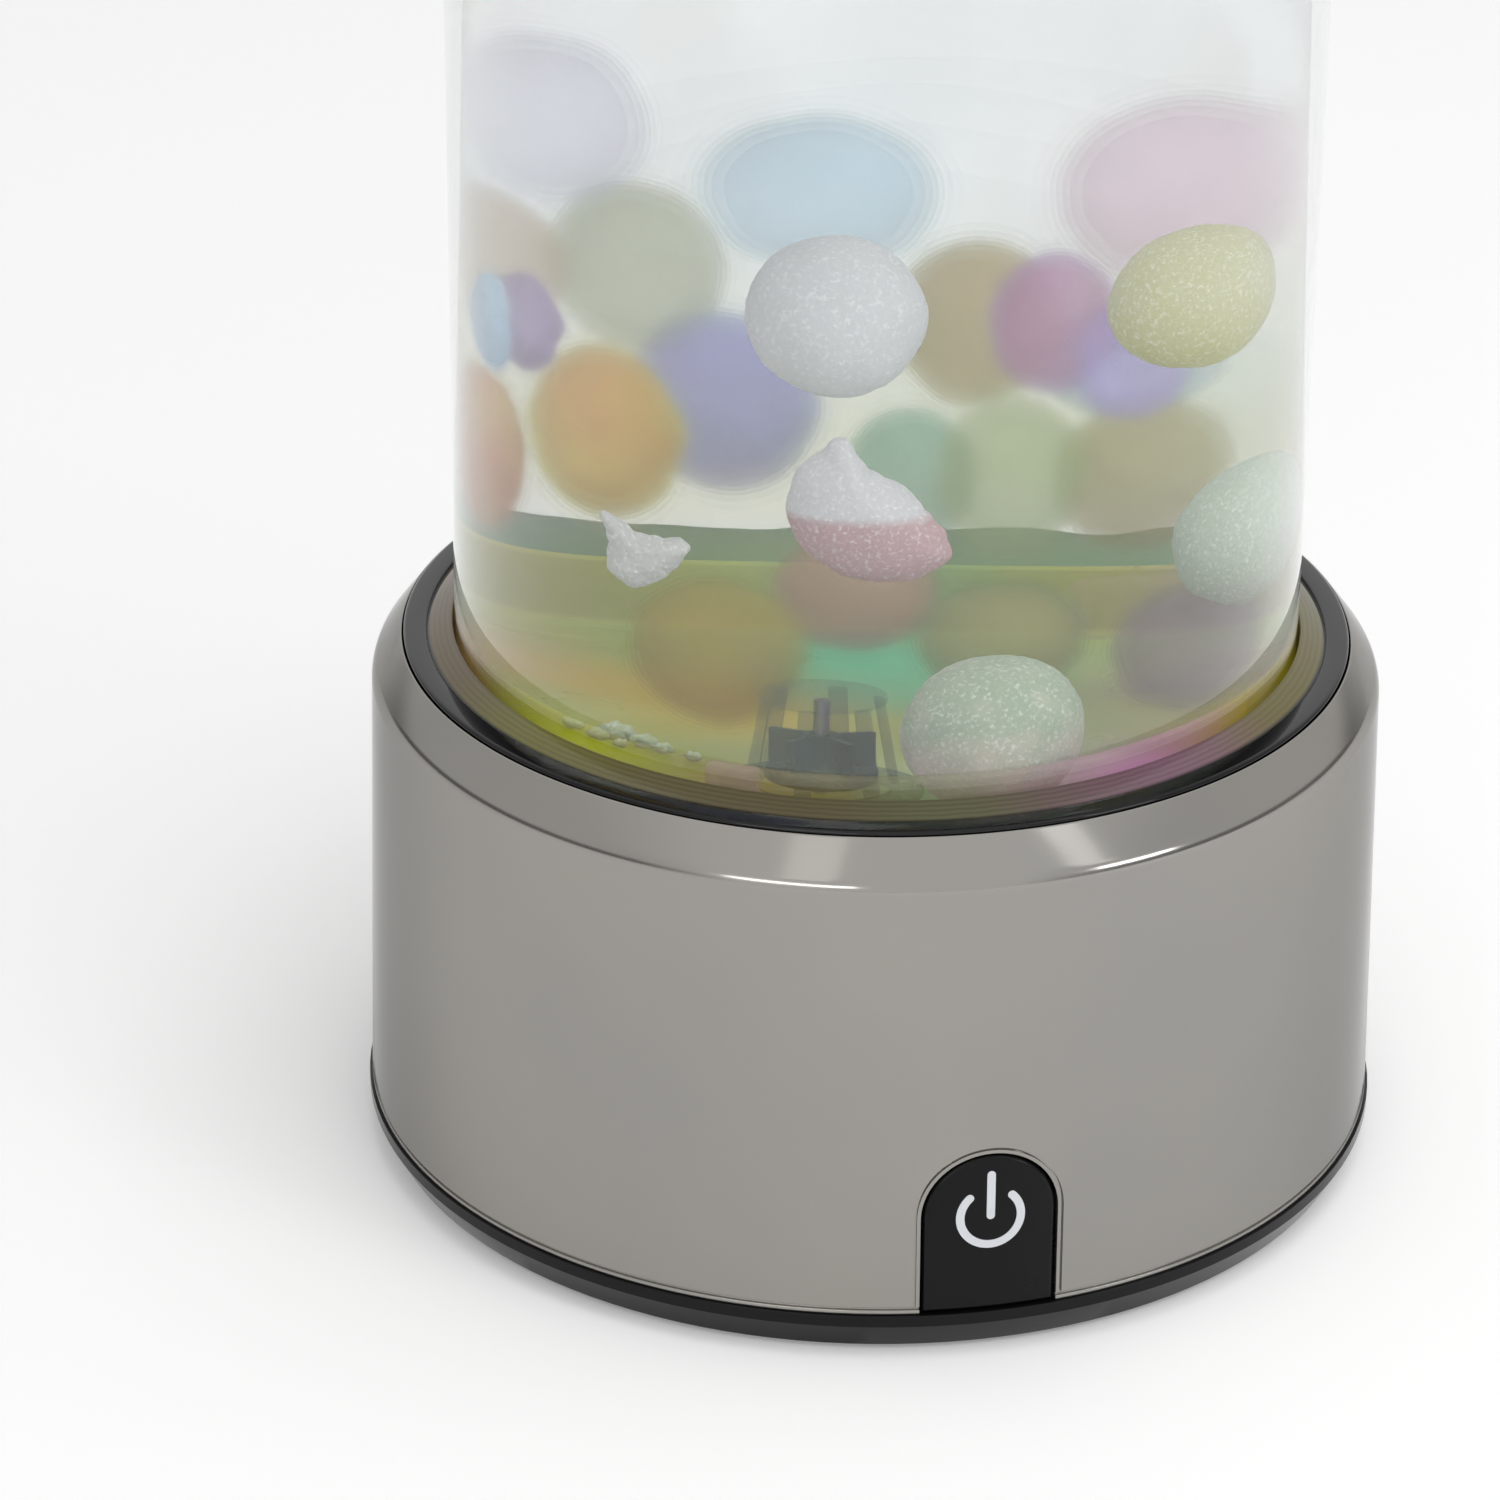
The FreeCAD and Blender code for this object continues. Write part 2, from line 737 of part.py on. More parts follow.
def make_impeller():
    low = floor_top + impeller_lift
    disc_top = low + impeller_disc
    vane_top = disc_top + impeller_vane_height
    foot = FreeCAD.Vector(drive_x, drive_y, low)
    disc = prism(wheel_sides, impeller_radius, foot, impeller_disc, up)
    hub = prism(impeller_hub_sides, impeller_hub_radius, foot, vane_top - low, up)
    half = impeller_vane_width / 2
    reach = drive_x + impeller_vane_reach
    vane = block(drive_x, reach, drive_y - half, drive_y + half, disc_top, vane_top)
    vanes = around(vane, impeller_vane_count, drive_x, drive_y)
    bore = rod(axle_radius + axle_clearance, low - 1, vane_top + 1, drive_x, drive_y)
    return without(joined([disc, hub] + vanes), [bore] + make_impeller_magnets())


# Tank: tube, cup-shaped floor and collar

def make_tube():
    return turned([
        (tube_inner, tube_bottom),
        (tube_radius, tube_bottom),
        (tube_radius, tube_top),
        (tube_inner, tube_top),
    ])


def make_tank_floor():
    outer = tube_inner - glue_gap
    inner = outer - floor_rim_wall
    rim_top = floor_top + floor_rim_height
    cup = turned([
        (0, tube_bottom),
        (outer, tube_bottom),
        (outer, rim_top),
        (inner, rim_top),
        (inner, floor_top),
        (0, floor_top),
    ])
    half = lug_width / 2
    lug = block(-half, half, -inner - 1, -inner + lug_depth, floor_top - 1, floor_top + lug_height)
    lugs = [turned_to(each, lug_start_angle) for each in around(lug, lug_count)]
    return joined([cup] + lugs)


def make_collar():
    bore = tube_radius + collar_bore_clearance
    flat_inner = collar_radius - collar_flat_width
    flat_top = shoulder_z + collar_flat_rise
    return turned([
        (bore, cradle_top),
        (collar_radius, cradle_top),
        (collar_radius, flat_top),
        (flat_inner, flat_top),
        (bore, shoulder_z + collar_inner_rise),
    ])


# Power key with its hinge, bracket, board and switch

def make_key():
    low = lip_top + key_foot_gap
    high = key_arch_height + key_half + 2
    ring = turned([
        (shell_radius - key_thickness, low),
        (shell_radius, low),
        (shell_radius, high),
        (shell_radius - key_thickness, high),
    ])
    panel = ring.common(arch(key_half, low - 1, -shell_radius - 5, -shell_radius / 2))
    barrel_radius = hinge_radius + hinge_key_clearance + hinge_wall
    half = key_lug_width / 2
    backed = -shell_radius + key_thickness / 2
    within = rod(shell_radius - key_thickness / 2, low - 1, high)
    pieces = [panel]
    for side in (-1, 1):
        left = side * key_lug_centre - half
        right = side * key_lug_centre + half
        lug = block(
            left, right, backed, hinge_y + barrel_radius,
            hinge_z - barrel_radius, hinge_z + barrel_radius,
        )
        pieces.append(lug.common(within))
    pieces.append(bar_inward(pusher_width, backed, pusher_end, key_arch_height))
    bore = rod_across(hinge_radius + hinge_key_clearance, -key_half, key_half, hinge_y, hinge_z)
    return without(joined(pieces), [bore])


def make_hinge_pin():
    reach = ear_centre + ear_width / 2
    return rod_across(hinge_radius, -reach, reach, hinge_y, hinge_z)


def make_bracket():
    foot_top = boss_top + bracket_plate
    half = bracket_half_width
    foot = block(-half, half, bracket_front, bracket_back, boss_top, foot_top)
    wall = block(-half, half, bracket_wall_front, bracket_wall_back, boss_top, bracket_top)
    ear_wall = hinge_radius + hinge_ear_clearance + hinge_wall
    ear_front = hinge_y - ear_wall
    ear_low = hinge_z - ear_wall
    ear_high = hinge_z + ear_wall
    pieces = [foot, wall]
    for side in (-1, 1):
        left = side * ear_centre - ear_width / 2
        pieces.append(sideways([
            (bracket_wall_front, boss_top),
            (bracket_front, boss_top),
            (bracket_front, ear_low),
            (ear_front, ear_low),
            (ear_front, ear_high),
            (bracket_wall_front - ear_gusset_depth, ear_high),
            (bracket_wall_front, ear_high + ear_gusset_rise),
        ], left, left + ear_width))
    holes = [rod_across(hinge_radius + hinge_ear_clearance, -half, half, hinge_y, hinge_z)]
    for side in (-1, 1):
        foot_seat = FreeCAD.Vector(side * bracket_screw_x, bracket_screw_y, boss_top - 1)
        holes.append(hole(board_screw, foot_seat, bracket_plate + 2, up, screw_clearance))
    return without(joined(pieces), holes)


def make_switch_board():
    half_width = switch_board_width / 2
    half_height = switch_board_height / 2
    return block(
        -half_width, half_width, switch_back, bracket_wall_front,
        key_arch_height - half_height, key_arch_height + half_height,
    )


def make_switch():
    body = bar_inward(switch_size, switch_front, switch_back, key_arch_height)
    button = bar_inward(switch_button_width, switch_button_front, switch_back, key_arch_height)
    return joined([body, button])


def make_bracket_screws():
    screws = []
    for side in (-1, 1):
        seat = FreeCAD.Vector(side * bracket_screw_x, bracket_screw_y, boss_top + bracket_plate)
        screws.append(screw(board_screw, seat, bracket_plate + bracket_screw_bite, down))
    return screws


# Control board and the inlet at the back

def board_screw_places():
    return [(x, y) for x in (-standoff_x, standoff_x) for y in (standoff_front, standoff_back)]


def make_main_board():
    half = main_board_width / 2
    tongue = tongue_width / 2
    board = plate([
        (-half, main_board_front), (half, main_board_front),
        (half, main_board_back), (tongue, main_board_back),
        (tongue, tongue_back), (-tongue, tongue_back),
        (-tongue, main_board_back), (-half, main_board_back),
    ], main_board_height, main_board_top)
    holes = []
    for x, y in board_screw_places():
        seat = FreeCAD.Vector(x, y, main_board_height - 1)
        holes.append(hole(board_screw, seat, board_thickness + 2, up, screw_clearance))
    return without(board, holes)


def make_board_screws():
    screws = []
    for x, y in board_screw_places():
        seat = FreeCAD.Vector(x, y, main_board_top)
        screws.append(screw(board_screw, seat, board_thickness + board_screw_bite, down))
    return screws


def make_components():
    # driver chip and two connectors, and a capacitor beside them
    solids = []
    for left, right, front, back, height in board_blocks:
        front += main_board_front
        back += main_board_front
        solids.append(block(left, right, front, back, main_board_top, main_board_top + height))
    x, y = capacitor_place
    foot = FreeCAD.Vector(x, main_board_front + y, main_board_top)
    solids.append(prism(foot_sides, capacitor_radius, foot, capacitor_height, up))
    return solids


def make_jack():
    half = jack_width / 2
    top = main_board_top + jack_height
    body = block(-half, half, jack_front - jack_length, jack_front, main_board_top, top)
    bore = rod_inward(jack_bore_radius, jack_front - jack_bore_depth, jack_front + 1, 0, jack_centre_z)
    return body.cut(bore)


def make_jack_pin():
    foot = FreeCAD.Vector(0, jack_front - jack_bore_depth, jack_centre_z)
    return prism(jack_pin_sides, jack_pin_radius, foot, jack_pin_length, inward)


# Top of the tank

def make_lid():
    lid = prism(lid_sides, tube_radius, FreeCAD.Vector(0, 0, tube_top), lid_thickness, up)
    below = FreeCAD.Vector(0, 0, tube_top - 1)
    bore = prism(filler_sides, filler_radius + filler_clearance, below, lid_thickness + 2, up)
    return lid.cut(bore)


def make_filler_screw():
    foot = FreeCAD.Vector(0, 0, tube_top)
    shank = prism(filler_sides, filler_radius, foot, lid_thickness, up)
    seat = FreeCAD.Vector(0, 0, lid_top)
    head = prism(head_sides, filler_head_radius, seat, filler_head_height, up)
    return joined([shank, head])


def make_cap():
    roof = cap_top - cap_roof
    body = turned([
        (cap_inner, cap_bottom),
        (cap_radius, cap_bottom),
        (cap_radius, cap_top - cap_chamfer),
        (cap_radius - cap_chamfer, cap_top),
        (0, cap_top),
        (0, roof),
        (cap_inner, roof),
    ])
    # ribs that stand on the lid and carry the cap
    half = cap_rib_width / 2
    rib = block(-half, half, -cap_inner - 1, cap_rib_length - cap_inner, lid_top, roof + 1)
    return joined([body] + around(rib, cap_rib_count))


# Wax: white pieces and pastel pieces, all with flat facets

def wax_ball(x, y, height, radius, sides, rises, squash):
    z = floor_top + height
    rings = []
    for rise in rises:
        share = math.sqrt(max(1 - rise * rise, 0.06))
        rings.append(ring_points(radius * share, z + rise * radius * squash, sides, x, y))
    return faceted(rings)


def make_white_balls():
    return [wax_ball(*ball, white_sides, white_rises, white_ball_squash) for ball in white_balls]


def make_white_drop():
    # a ball below and a drawn-out tip above, leaning to one side
    x, y, rise, radius = white_drop
    rings = []
    for height, share in drop_profile:
        rings.append(ring_points(share * radius, height * radius, white_sides))
    drop = faceted(rings)
    drop.rotate(centre, FreeCAD.Vector(0, 1, 0), -drop_tilt)
    drop.translate(FreeCAD.Vector(x, y, floor_top + rise))
    return drop


def make_white_chip():
    # a broken flake with an uneven outline, standing on its edge and tapering down
    x, y, rise, radius = white_chip
    points = [FreeCAD.Vector(a * radius, 0, b * radius) for a, b in chip_outline]
    face = Part.Face(Part.makePolygon(points + points[:1]))
    chip = face.extrude(FreeCAD.Vector(0, chip_thickness, 0))
    chip.rotate(centre, up, chip_turn)
    chip.translate(FreeCAD.Vector(x, y, floor_top + rise))
    return chip


os.makedirs("parts", exist_ok=True)
save("base_shell", make_shell())
save("base_tray", make_tray())
save("rubber_feet", make_feet())
save("tray_screws", make_case_screws())
save("tank_cradle", make_cradle())
save("led_board", make_led_board())
save("red_leds", make_leds(0))
save("green_leds", make_leds(1))
save("blue_leds", make_leds(2))
save("motor_mount", make_mount())
save("drive_motor", make_motor())
save("motor_shaft", make_shaft())
save("drive_hub", make_hub())
save("drive_magnets", make_drive_magnets())
save("impeller_cage", make_cage())
save("impeller_axle", make_axle())
save("impeller", make_impeller())
save("impeller_magnets", make_impeller_magnets())
save("tank_tube", make_tube())
save("tank_floor", make_tank_floor())
save("collar_ring", make_collar())
save("power_button", make_key())
save("button_pin", make_hinge_pin())
save("button_bracket", make_bracket())
save("switch_board", make_switch_board())
save("tact_switch", make_switch())
save("bracket_screws", make_bracket_screws())
save("main_board", make_main_board())
save("board_screws", make_board_screws())
save("board_components", make_components())
save("dc_jack", make_jack())
save("jack_pin", make_jack_pin())
save("tank_lid", make_lid())
save("fill_screw", make_filler_screw())
save("top_cap", make_cap())
save("white_wax_balls", make_white_balls())
save("white_wax_drop", make_white_drop())
save("white_wax_chip", make_white_chip())
for name, pieces in pastel_wax.items():
    save(name, [wax_ball(*piece, pastel_sides, pastel_rises, pastel_squash) for piece in pieces])
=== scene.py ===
import math
import bpy
import bmesh
from mathutils import Matrix, Vector, noise


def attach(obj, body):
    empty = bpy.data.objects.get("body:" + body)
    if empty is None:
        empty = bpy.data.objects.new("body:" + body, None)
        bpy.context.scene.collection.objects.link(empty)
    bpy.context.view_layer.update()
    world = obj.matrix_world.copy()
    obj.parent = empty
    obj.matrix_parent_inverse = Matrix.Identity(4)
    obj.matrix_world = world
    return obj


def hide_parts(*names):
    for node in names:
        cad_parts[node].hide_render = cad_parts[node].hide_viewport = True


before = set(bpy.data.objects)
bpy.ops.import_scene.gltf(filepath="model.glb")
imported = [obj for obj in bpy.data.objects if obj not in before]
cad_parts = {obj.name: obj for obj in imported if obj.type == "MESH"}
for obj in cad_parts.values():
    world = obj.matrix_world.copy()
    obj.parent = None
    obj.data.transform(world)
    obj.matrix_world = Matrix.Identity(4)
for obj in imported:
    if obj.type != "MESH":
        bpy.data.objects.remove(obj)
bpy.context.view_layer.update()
scene = bpy.context.scene
mm = 0.001
print("stage: frame loaded")


# helpers for numbers and tints

def limited(value, low=0):
    return min(1, max(low, value))


def srgb(r, g, b):
    # screen colour 0 to 255, as the linear colour that a socket takes
    values = []
    for c in (r, g, b):
        c = c / 255
        values.append(c / 12.92 if c <= 0.04045 else ((c + 0.055) / 1.055) ** 2.4)
    return (*values, 1)


def tintOf(colour):
    return Vector(srgb(*colour)[:3])


def mixPatches(right, other, patches, base, baseShare, vivid):
    # tint at a place: the patches around it, each by how near it is
    total, mixed = baseShare, tintOf(base) * baseShare
    for r, d, size, colour in patches:
        weight = math.exp(-((right - r) ** 2 + (other - d) ** 2) / (size * size))
        mixed += tintOf(colour) * weight
        total += weight
    mixed /= total
    grey = Vector((1, 1, 1)) * (mixed.x * 0.3 + mixed.y * 0.6 + mixed.z * 0.1)
    return grey + (mixed - grey) * vivid


def paintPoints(bm, name, tintAt, veilAt=None):
    # tint of each point, and how dense it is there
    tint = bm.verts.layers.float_color.new(name)
    if veilAt:
        veil = bm.verts.layers.float.new("veil")
    for v in bm.verts:
        v[tint] = (*tintAt(v.co), 1)
        if veilAt:
            v[veil] = veilAt(v.co)


# helpers for shapes

def meshObject(name, bm, material=None):
    mesh = bpy.data.meshes.new(name)
    bm.to_mesh(mesh)
    bm.free()
    if material:
        mesh.materials.append(material)
    obj = bpy.data.objects.new(name, mesh)
    scene.collection.objects.link(obj)
    return obj


def smoothByAngle(obj, angle):
    obj.data.shade_smooth()
    obj.data.set_sharp_from_angle(angle=math.radians(angle))


def finishPiece(name, bm, material, body="base", angle=32, replaces=None, fixNormals=True,
                shades=True):
    bmesh.ops.scale(bm, vec=(mm, mm, mm), verts=bm.verts)
    if fixNormals:
        bmesh.ops.recalc_face_normals(bm, faces=bm.faces)
    obj = meshObject(name, bm, material)
    smoothByAngle(obj, angle)
    if not shades:  # plain light goes straight through
        obj.visible_shadow = False
        obj.visible_diffuse = False
    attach(obj, body)
    if replaces:
        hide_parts(replaces)
    return obj


def roundOff(bm, geom, offset, segments, affect="EDGES", clamp=True):
    bmesh.ops.bevel(bm, geom=geom, offset=offset, offset_type="OFFSET", affect=affect, segments=segments,
                    profile=0.5, material=-1, clamp_overlap=clamp)


def turnedBody(profile, steps=256, axis=(0, 0)):
    # profile: radius, height and how far the corner is rounded off
    bm = bmesh.new()
    verts = [bm.verts.new((r, 0, z)) for r, z, _ in profile]
    bm.faces.new(verts)
    for vert, (_, _, rounding) in zip(verts, profile):
        if rounding:
            roundOff(bm, [vert], rounding, 5, affect="VERTICES", clamp=False)
    bmesh.ops.delete(bm, geom=list(bm.faces), context="FACES_ONLY")
    onAxis = [e for e in bm.edges if all(abs(v.co.x) < 1e-6 for v in e.verts)]
    bmesh.ops.delete(bm, geom=onAxis, context="EDGES")
    bmesh.ops.spin(bm, geom=list(bm.verts) + list(bm.edges), cent=(0, 0, 0), axis=(0, 0, 1), dvec=(0, 0, 0),
                   angle=math.tau, steps=steps, use_merge=True)
    bmesh.ops.remove_doubles(bm, verts=bm.verts, dist=1e-5)
    bmesh.ops.translate(bm, vec=(*axis, 0), verts=bm.verts)
    bmesh.ops.recalc_face_normals(bm, faces=bm.faces)
    return bm


def addBlock(bm, place, size):
    return bmesh.ops.create_cube(bm, size=1, matrix=place @ Matrix.Diagonal((*size, 1)))["verts"]


def addRod(bm, radius, length, place, segments=48):
    bmesh.ops.create_cone(bm, cap_ends=True, segments=segments, radius1=radius, radius2=radius, depth=length,
                          matrix=place)


def archPrism(halfWidth, low, centre, front, back, segments=40):
    # upright arch, as a solid from front to back
    bm = bmesh.new()
    corners = [(-halfWidth, low), (halfWidth, low)]
    for i in range(segments + 1):
        turn = math.pi * i / segments
        corners.append((halfWidth * math.cos(turn), centre + halfWidth * math.sin(turn)))
    face = bm.faces.new([bm.verts.new((x, front, z)) for x, z in corners])
    made = bmesh.ops.extrude_face_region(bm, geom=[face])
    moved = [g for g in made["geom"] if isinstance(g, bmesh.types.BMVert)]
    bmesh.ops.translate(bm, vec=(0, back - front, 0), verts=moved)
    bmesh.ops.recalc_face_normals(bm, faces=bm.faces)
    return bm


def cutterOf(bm):
    bmesh.ops.scale(bm, vec=(mm, mm, mm), verts=bm.verts)
    bmesh.ops.recalc_face_normals(bm, faces=bm.faces)
    return meshObject("cutter", bm)


def cutAway(obj, cutter):
    # takes the cutter off the piece, for good
    cut = obj.modifiers.new("cut", "BOOLEAN")
    cut.operation = "DIFFERENCE"
    cut.solver = "EXACT"
    cut.object = cutter
    graph = bpy.context.evaluated_depsgraph_get()
    made = bpy.data.meshes.new_from_object(obj.evaluated_get(graph))
    obj.modifiers.remove(cut)
    obj.data = made
    bpy.data.objects.remove(cutter)


# helpers for materials

def plug(tree, socket, value):
    # a plain value, or the output of another node
    if isinstance(value, bpy.types.NodeSocket):
        tree.links.new(value, socket)
    else:
        socket.default_value = value


def addNode(tree, kind, inputs, **settings):
    node = tree.nodes.new("ShaderNode" + kind)
    for key, value in settings.items():
        setattr(node, key, value)
    for key, value in inputs.items():
        plug(tree, node.inputs[key], value)
    return node


def addNoise(tree, coords, scale, detail, roughness):
    inputs = {"Vector": coords, "Scale": scale, "Detail": detail, "Roughness": roughness}
    return addNode(tree, "TexNoise", inputs).outputs["Fac"]


def addRange(tree, value, low, high, toLow=0.0, toHigh=1.0):
    inputs = {"Value": value, "From Min": low, "From Max": high, "To Min": toLow, "To Max": toHigh}
    return addNode(tree, "MapRange", inputs).outputs["Result"]


def addMath(tree, operation, first, second=0.0, third=0.0, clamp=False):
    inputs = {0: first, 1: second, 2: third}
    return addNode(tree, "Math", inputs, operation=operation, use_clamp=clamp).outputs[0]


def addMix(tree, share, first, second, blend="MIX"):
    inputs = {0: share, 6: first, 7: second}
    return addNode(tree, "Mix", inputs, data_type="RGBA", blend_type=blend).outputs[2]


def addBump(tree, height, strength, distance):
    inputs = {"Height": height, "Strength": strength, "Distance": distance}
    return addNode(tree, "Bump", inputs).outputs["Normal"]


def addPaint(tree, name, output="Color"):
    return addNode(tree, "Attribute", {}, attribute_name=name).outputs[output]


def newGroup(name, inputs, outputs):
    # a socket's kind, or its usual value where it takes a number
    tree = bpy.data.node_groups.new(name, "ShaderNodeTree")
    for way, sockets in (("INPUT", inputs), ("OUTPUT", outputs)):
        for label, given in sockets.items():
            kind = given if isinstance(given, str) else "Float"
            socket = tree.interface.new_socket(name=label, in_out=way, socket_type="NodeSocket" + kind)
            if given != kind:
                socket.default_value = given
    return tree, tree.nodes.new("NodeGroupInput").outputs, tree.nodes.new("NodeGroupOutput").inputs


def buildMouldedGroup():
    # moulded plastic: slow waviness, fine wipe marks and uneven gloss
    tree, given, out = newGroup("mouldedSurface", {
        "Coordinates": "Vector", "Wave Size": 60.0, "Gloss Low": 0.1, "Gloss High": 0.2, "Mark Amount": 0.3,
    }, {"Roughness": "Float", "Height": "Float"})
    coords = given["Coordinates"]
    slow = addNoise(tree, coords, given["Wave Size"], 2.0, 0.4)
    fine = addNoise(tree, coords, 900.0, 3.0, 0.6)
    # hair-fine wipe marks: noise drawn out along one direction
    drawn = addNode(tree, "Mapping", {"Vector": coords, "Rotation": (0.35, 0.2, 0.6), "Scale": (1, 40, 22)})
    marks = addRange(tree, addNoise(tree, drawn.outputs["Vector"], 55.0, 2.0, 0.5), 0.66, 0.74)
    amount = addMath(tree, "MULTIPLY", marks, given["Mark Amount"])
    gloss = addRange(tree, slow, 0.3, 0.7, given["Gloss Low"], given["Gloss High"])
    plug(tree, out["Roughness"], addMath(tree, "MULTIPLY_ADD", amount, 0.35, gloss, clamp=True))
    plug(tree, out["Height"], addMath(tree, "MULTIPLY_ADD", fine, 0.04, slow))
    return tree


def buildGrainGroup():
    # granular surface, as on wax or rubber: coarse lumps, fine grain and a speckle mask
    tree, given, out = newGroup("grainSurface", {
        "Coordinates": "Vector", "Grain Size": 900.0, "Lump Size": 160.0, "Grain Share": 0.5,
    }, {"Height": "Float", "Speckle": "Float", "Cloud": "Float"})
    grain = addNoise(tree, given["Coordinates"], given["Grain Size"], 4.0, 0.7)
    lumps = addNoise(tree, given["Coordinates"], given["Lump Size"], 3.0, 0.55)
    both = addNode(tree, "Mix", {0: given["Grain Share"], 2: lumps, 3: grain}, data_type="FLOAT")
    plug(tree, out["Height"], both.outputs[0])
    plug(tree, out["Speckle"], addRange(tree, grain, 0.52, 0.68))
    plug(tree, out["Cloud"], lumps)
    return tree


def buildMottleGroup():
    # two soft colours that run into each other over the piece
    tree, given, out = newGroup("softMottle", {
        "Coordinates": "Vector", "Patch Size": 40.0, "First": "Color", "Second": "Color",
        "Low": 0.4, "High": 0.6,
    }, {"Colour": "Color", "Mask": "Float"})
    patch = addNoise(tree, given["Coordinates"], given["Patch Size"], 2.0, 0.45)
    mask = addRange(tree, patch, given["Low"], given["High"])
    plug(tree, out["Colour"], addMix(tree, mask, given["First"], given["Second"]))
    plug(tree, out["Mask"], mask)
    return tree


groups = {"moulded": buildMouldedGroup(), "grain": buildGrainGroup(), "mottle": buildMottleGroup()}


def useGroup(tree, key, coords, *values):
    # the values fill the group's other inputs in their order
    node = addNode(tree, "Group", {"Coordinates": coords}, node_tree=groups[key])
    for socket, value in zip(node.inputs[1:], values):
        socket.default_value = value
    return node.outputs


def startMaterial(name):
    material = bpy.data.materials.new(name)
    material.use_nodes = True
    tree = material.node_tree
    return material, tree, addNode(tree, "TexCoord", {}).outputs["Object"]


def finishMaterial(material, values):
    shader = material.node_tree.nodes["Principled BSDF"]
    for label, value in values.items():
        plug(material.node_tree, shader.inputs[label], value)
    return material


def plasticMaterial(name, colour, second, glossLow, glossHigh, bump=0.05, specular=0.5, marks=0.3,
                    waveSize=45.0, coat=0.0, metallic=0.0, edge=1.0):
    material, tree, coords = startMaterial(name)
    surface = useGroup(tree, "moulded", coords, waveSize, glossLow, glossHigh, marks)
    tint = useGroup(tree, "mottle", coords, waveSize * 0.6, colour, second, 0.3, 0.7)
    return finishMaterial(material, {
        "Base Color": tint["Colour"], "Roughness": surface["Roughness"], "Metallic": metallic,
        "Specular IOR Level": specular, "Specular Tint": (edge, edge, edge, 1), "Coat Weight": coat,
        "Coat Roughness": 0.04, "Normal": addBump(tree, surface["Height"], bump, 0.0005),
    })


def metalMaterial(name, colour, second, glossLow, glossHigh):
    return plasticMaterial(name, colour, second, glossLow, glossHigh, bump=0.12, marks=0.9,
                           waveSize=160.0, metallic=1.0)


def rubberMaterial(name, colour, second):
    material, tree, coords = startMaterial(name)
    grain = useGroup(tree, "grain", coords, 1600.0, 300.0, 0.6)
    return finishMaterial(material, {
        "Base Color": useGroup(tree, "mottle", coords, 220.0, colour, second, 0.35, 0.65)["Colour"],
        "Roughness": addRange(tree, grain["Speckle"], 0.0, 1.0, 0.55, 0.8),
        "Normal": addBump(tree, grain["Height"], 0.3, 0.0003),
    })


def boardMaterial(name):
    # green board with a pattern of tracks under its lacquer
    material, tree, coords = startMaterial(name)
    tracks = addNode(tree, "TexBrick", {
        "Vector": coords, "Scale": 320.0, "Mortar Size": 0.03, "Color1": srgb(28, 92, 60),
        "Color2": srgb(34, 108, 68), "Mortar": srgb(64, 140, 96),
    }, offset=0.35, squash=0.7, squash_frequency=3).outputs
    return finishMaterial(material, {
        "Base Color": tracks["Color"],
        "Roughness": useGroup(tree, "moulded", coords, 90.0, 0.25, 0.4, 0.2)["Roughness"],
        "Normal": addBump(tree, tracks["Fac"], 0.2, 0.0002),
    })


def ledMaterial(name, colour, second):
    material, tree, coords = startMaterial(name)
    tint = useGroup(tree, "mottle", coords, 400.0, colour, second, 0.4, 0.6)["Colour"]
    return finishMaterial(material, {
        "Base Color": tint, "Emission Color": tint, "Emission Strength": 0.6,
        "Roughness": useGroup(tree, "moulded", coords, 300.0, 0.15, 0.3, 0.1)["Roughness"],
    })


def clearMaterial(name, first, second, ior, marks):
    # clear moulding or liquid
    material, tree, coords = startMaterial(name)
    return finishMaterial(material, {
        "Transmission Weight": 1.0, "IOR": ior,
        "Base Color": useGroup(tree, "mottle", coords, 12.0, first, second, 0.3, 0.7)["Colour"],
        "Roughness": useGroup(tree, "moulded", coords, 25.0, 0.0, 0.01, marks)["Roughness"],
    })


def whiteWaxMaterial(name):
    # frosted, crumbly wax: tint painted per piece, fine grain on top, and a weak painted glow that evens out
    # its shading
    material, tree, coords = startMaterial(name)
    grain = useGroup(tree, "grain", coords, 1500.0, 260.0, 0.55)
    amount = addMath(tree, "MULTIPLY", grain["Speckle"], 0.45)
    tint = addMix(tree, amount, addPaint(tree, "waxTint"), srgb(240, 243, 240))
    return finishMaterial(material, {
        "Base Color": tint, "Emission Color": tint, "Emission Strength": 0.12, "Subsurface Weight": 0.4,
        "Subsurface Scale": 0.003, "Subsurface Radius": (1.0, 0.9, 0.8),
        "Roughness": addRange(tree, grain["Cloud"], 0.0, 1.0, 0.45, 0.75),
        "Normal": addBump(tree, grain["Height"], 0.45, 0.0008),
    })


def softWaxMaterial(name, first, second):
    # hazy wax in thin layers: tint and density of each layer come from its own attributes
    material, tree, coords = startMaterial(name)
    tint = useGroup(tree, "mottle", coords, 60.0, first, second, 0.4, 0.62)
    uneven = addRange(tree, tint["Mask"], 0.0, 1.0, 0.85, 1.15)
    return finishMaterial(material, {
        "Base Color": addMix(tree, 0.82, tint["Colour"], addPaint(tree, "waxTint")),
        "Alpha": addMath(tree, "MULTIPLY", addPaint(tree, "veil", "Fac"), uneven, clamp=True),
        "Roughness": 0.7, "Specular IOR Level": 0.0,
    })


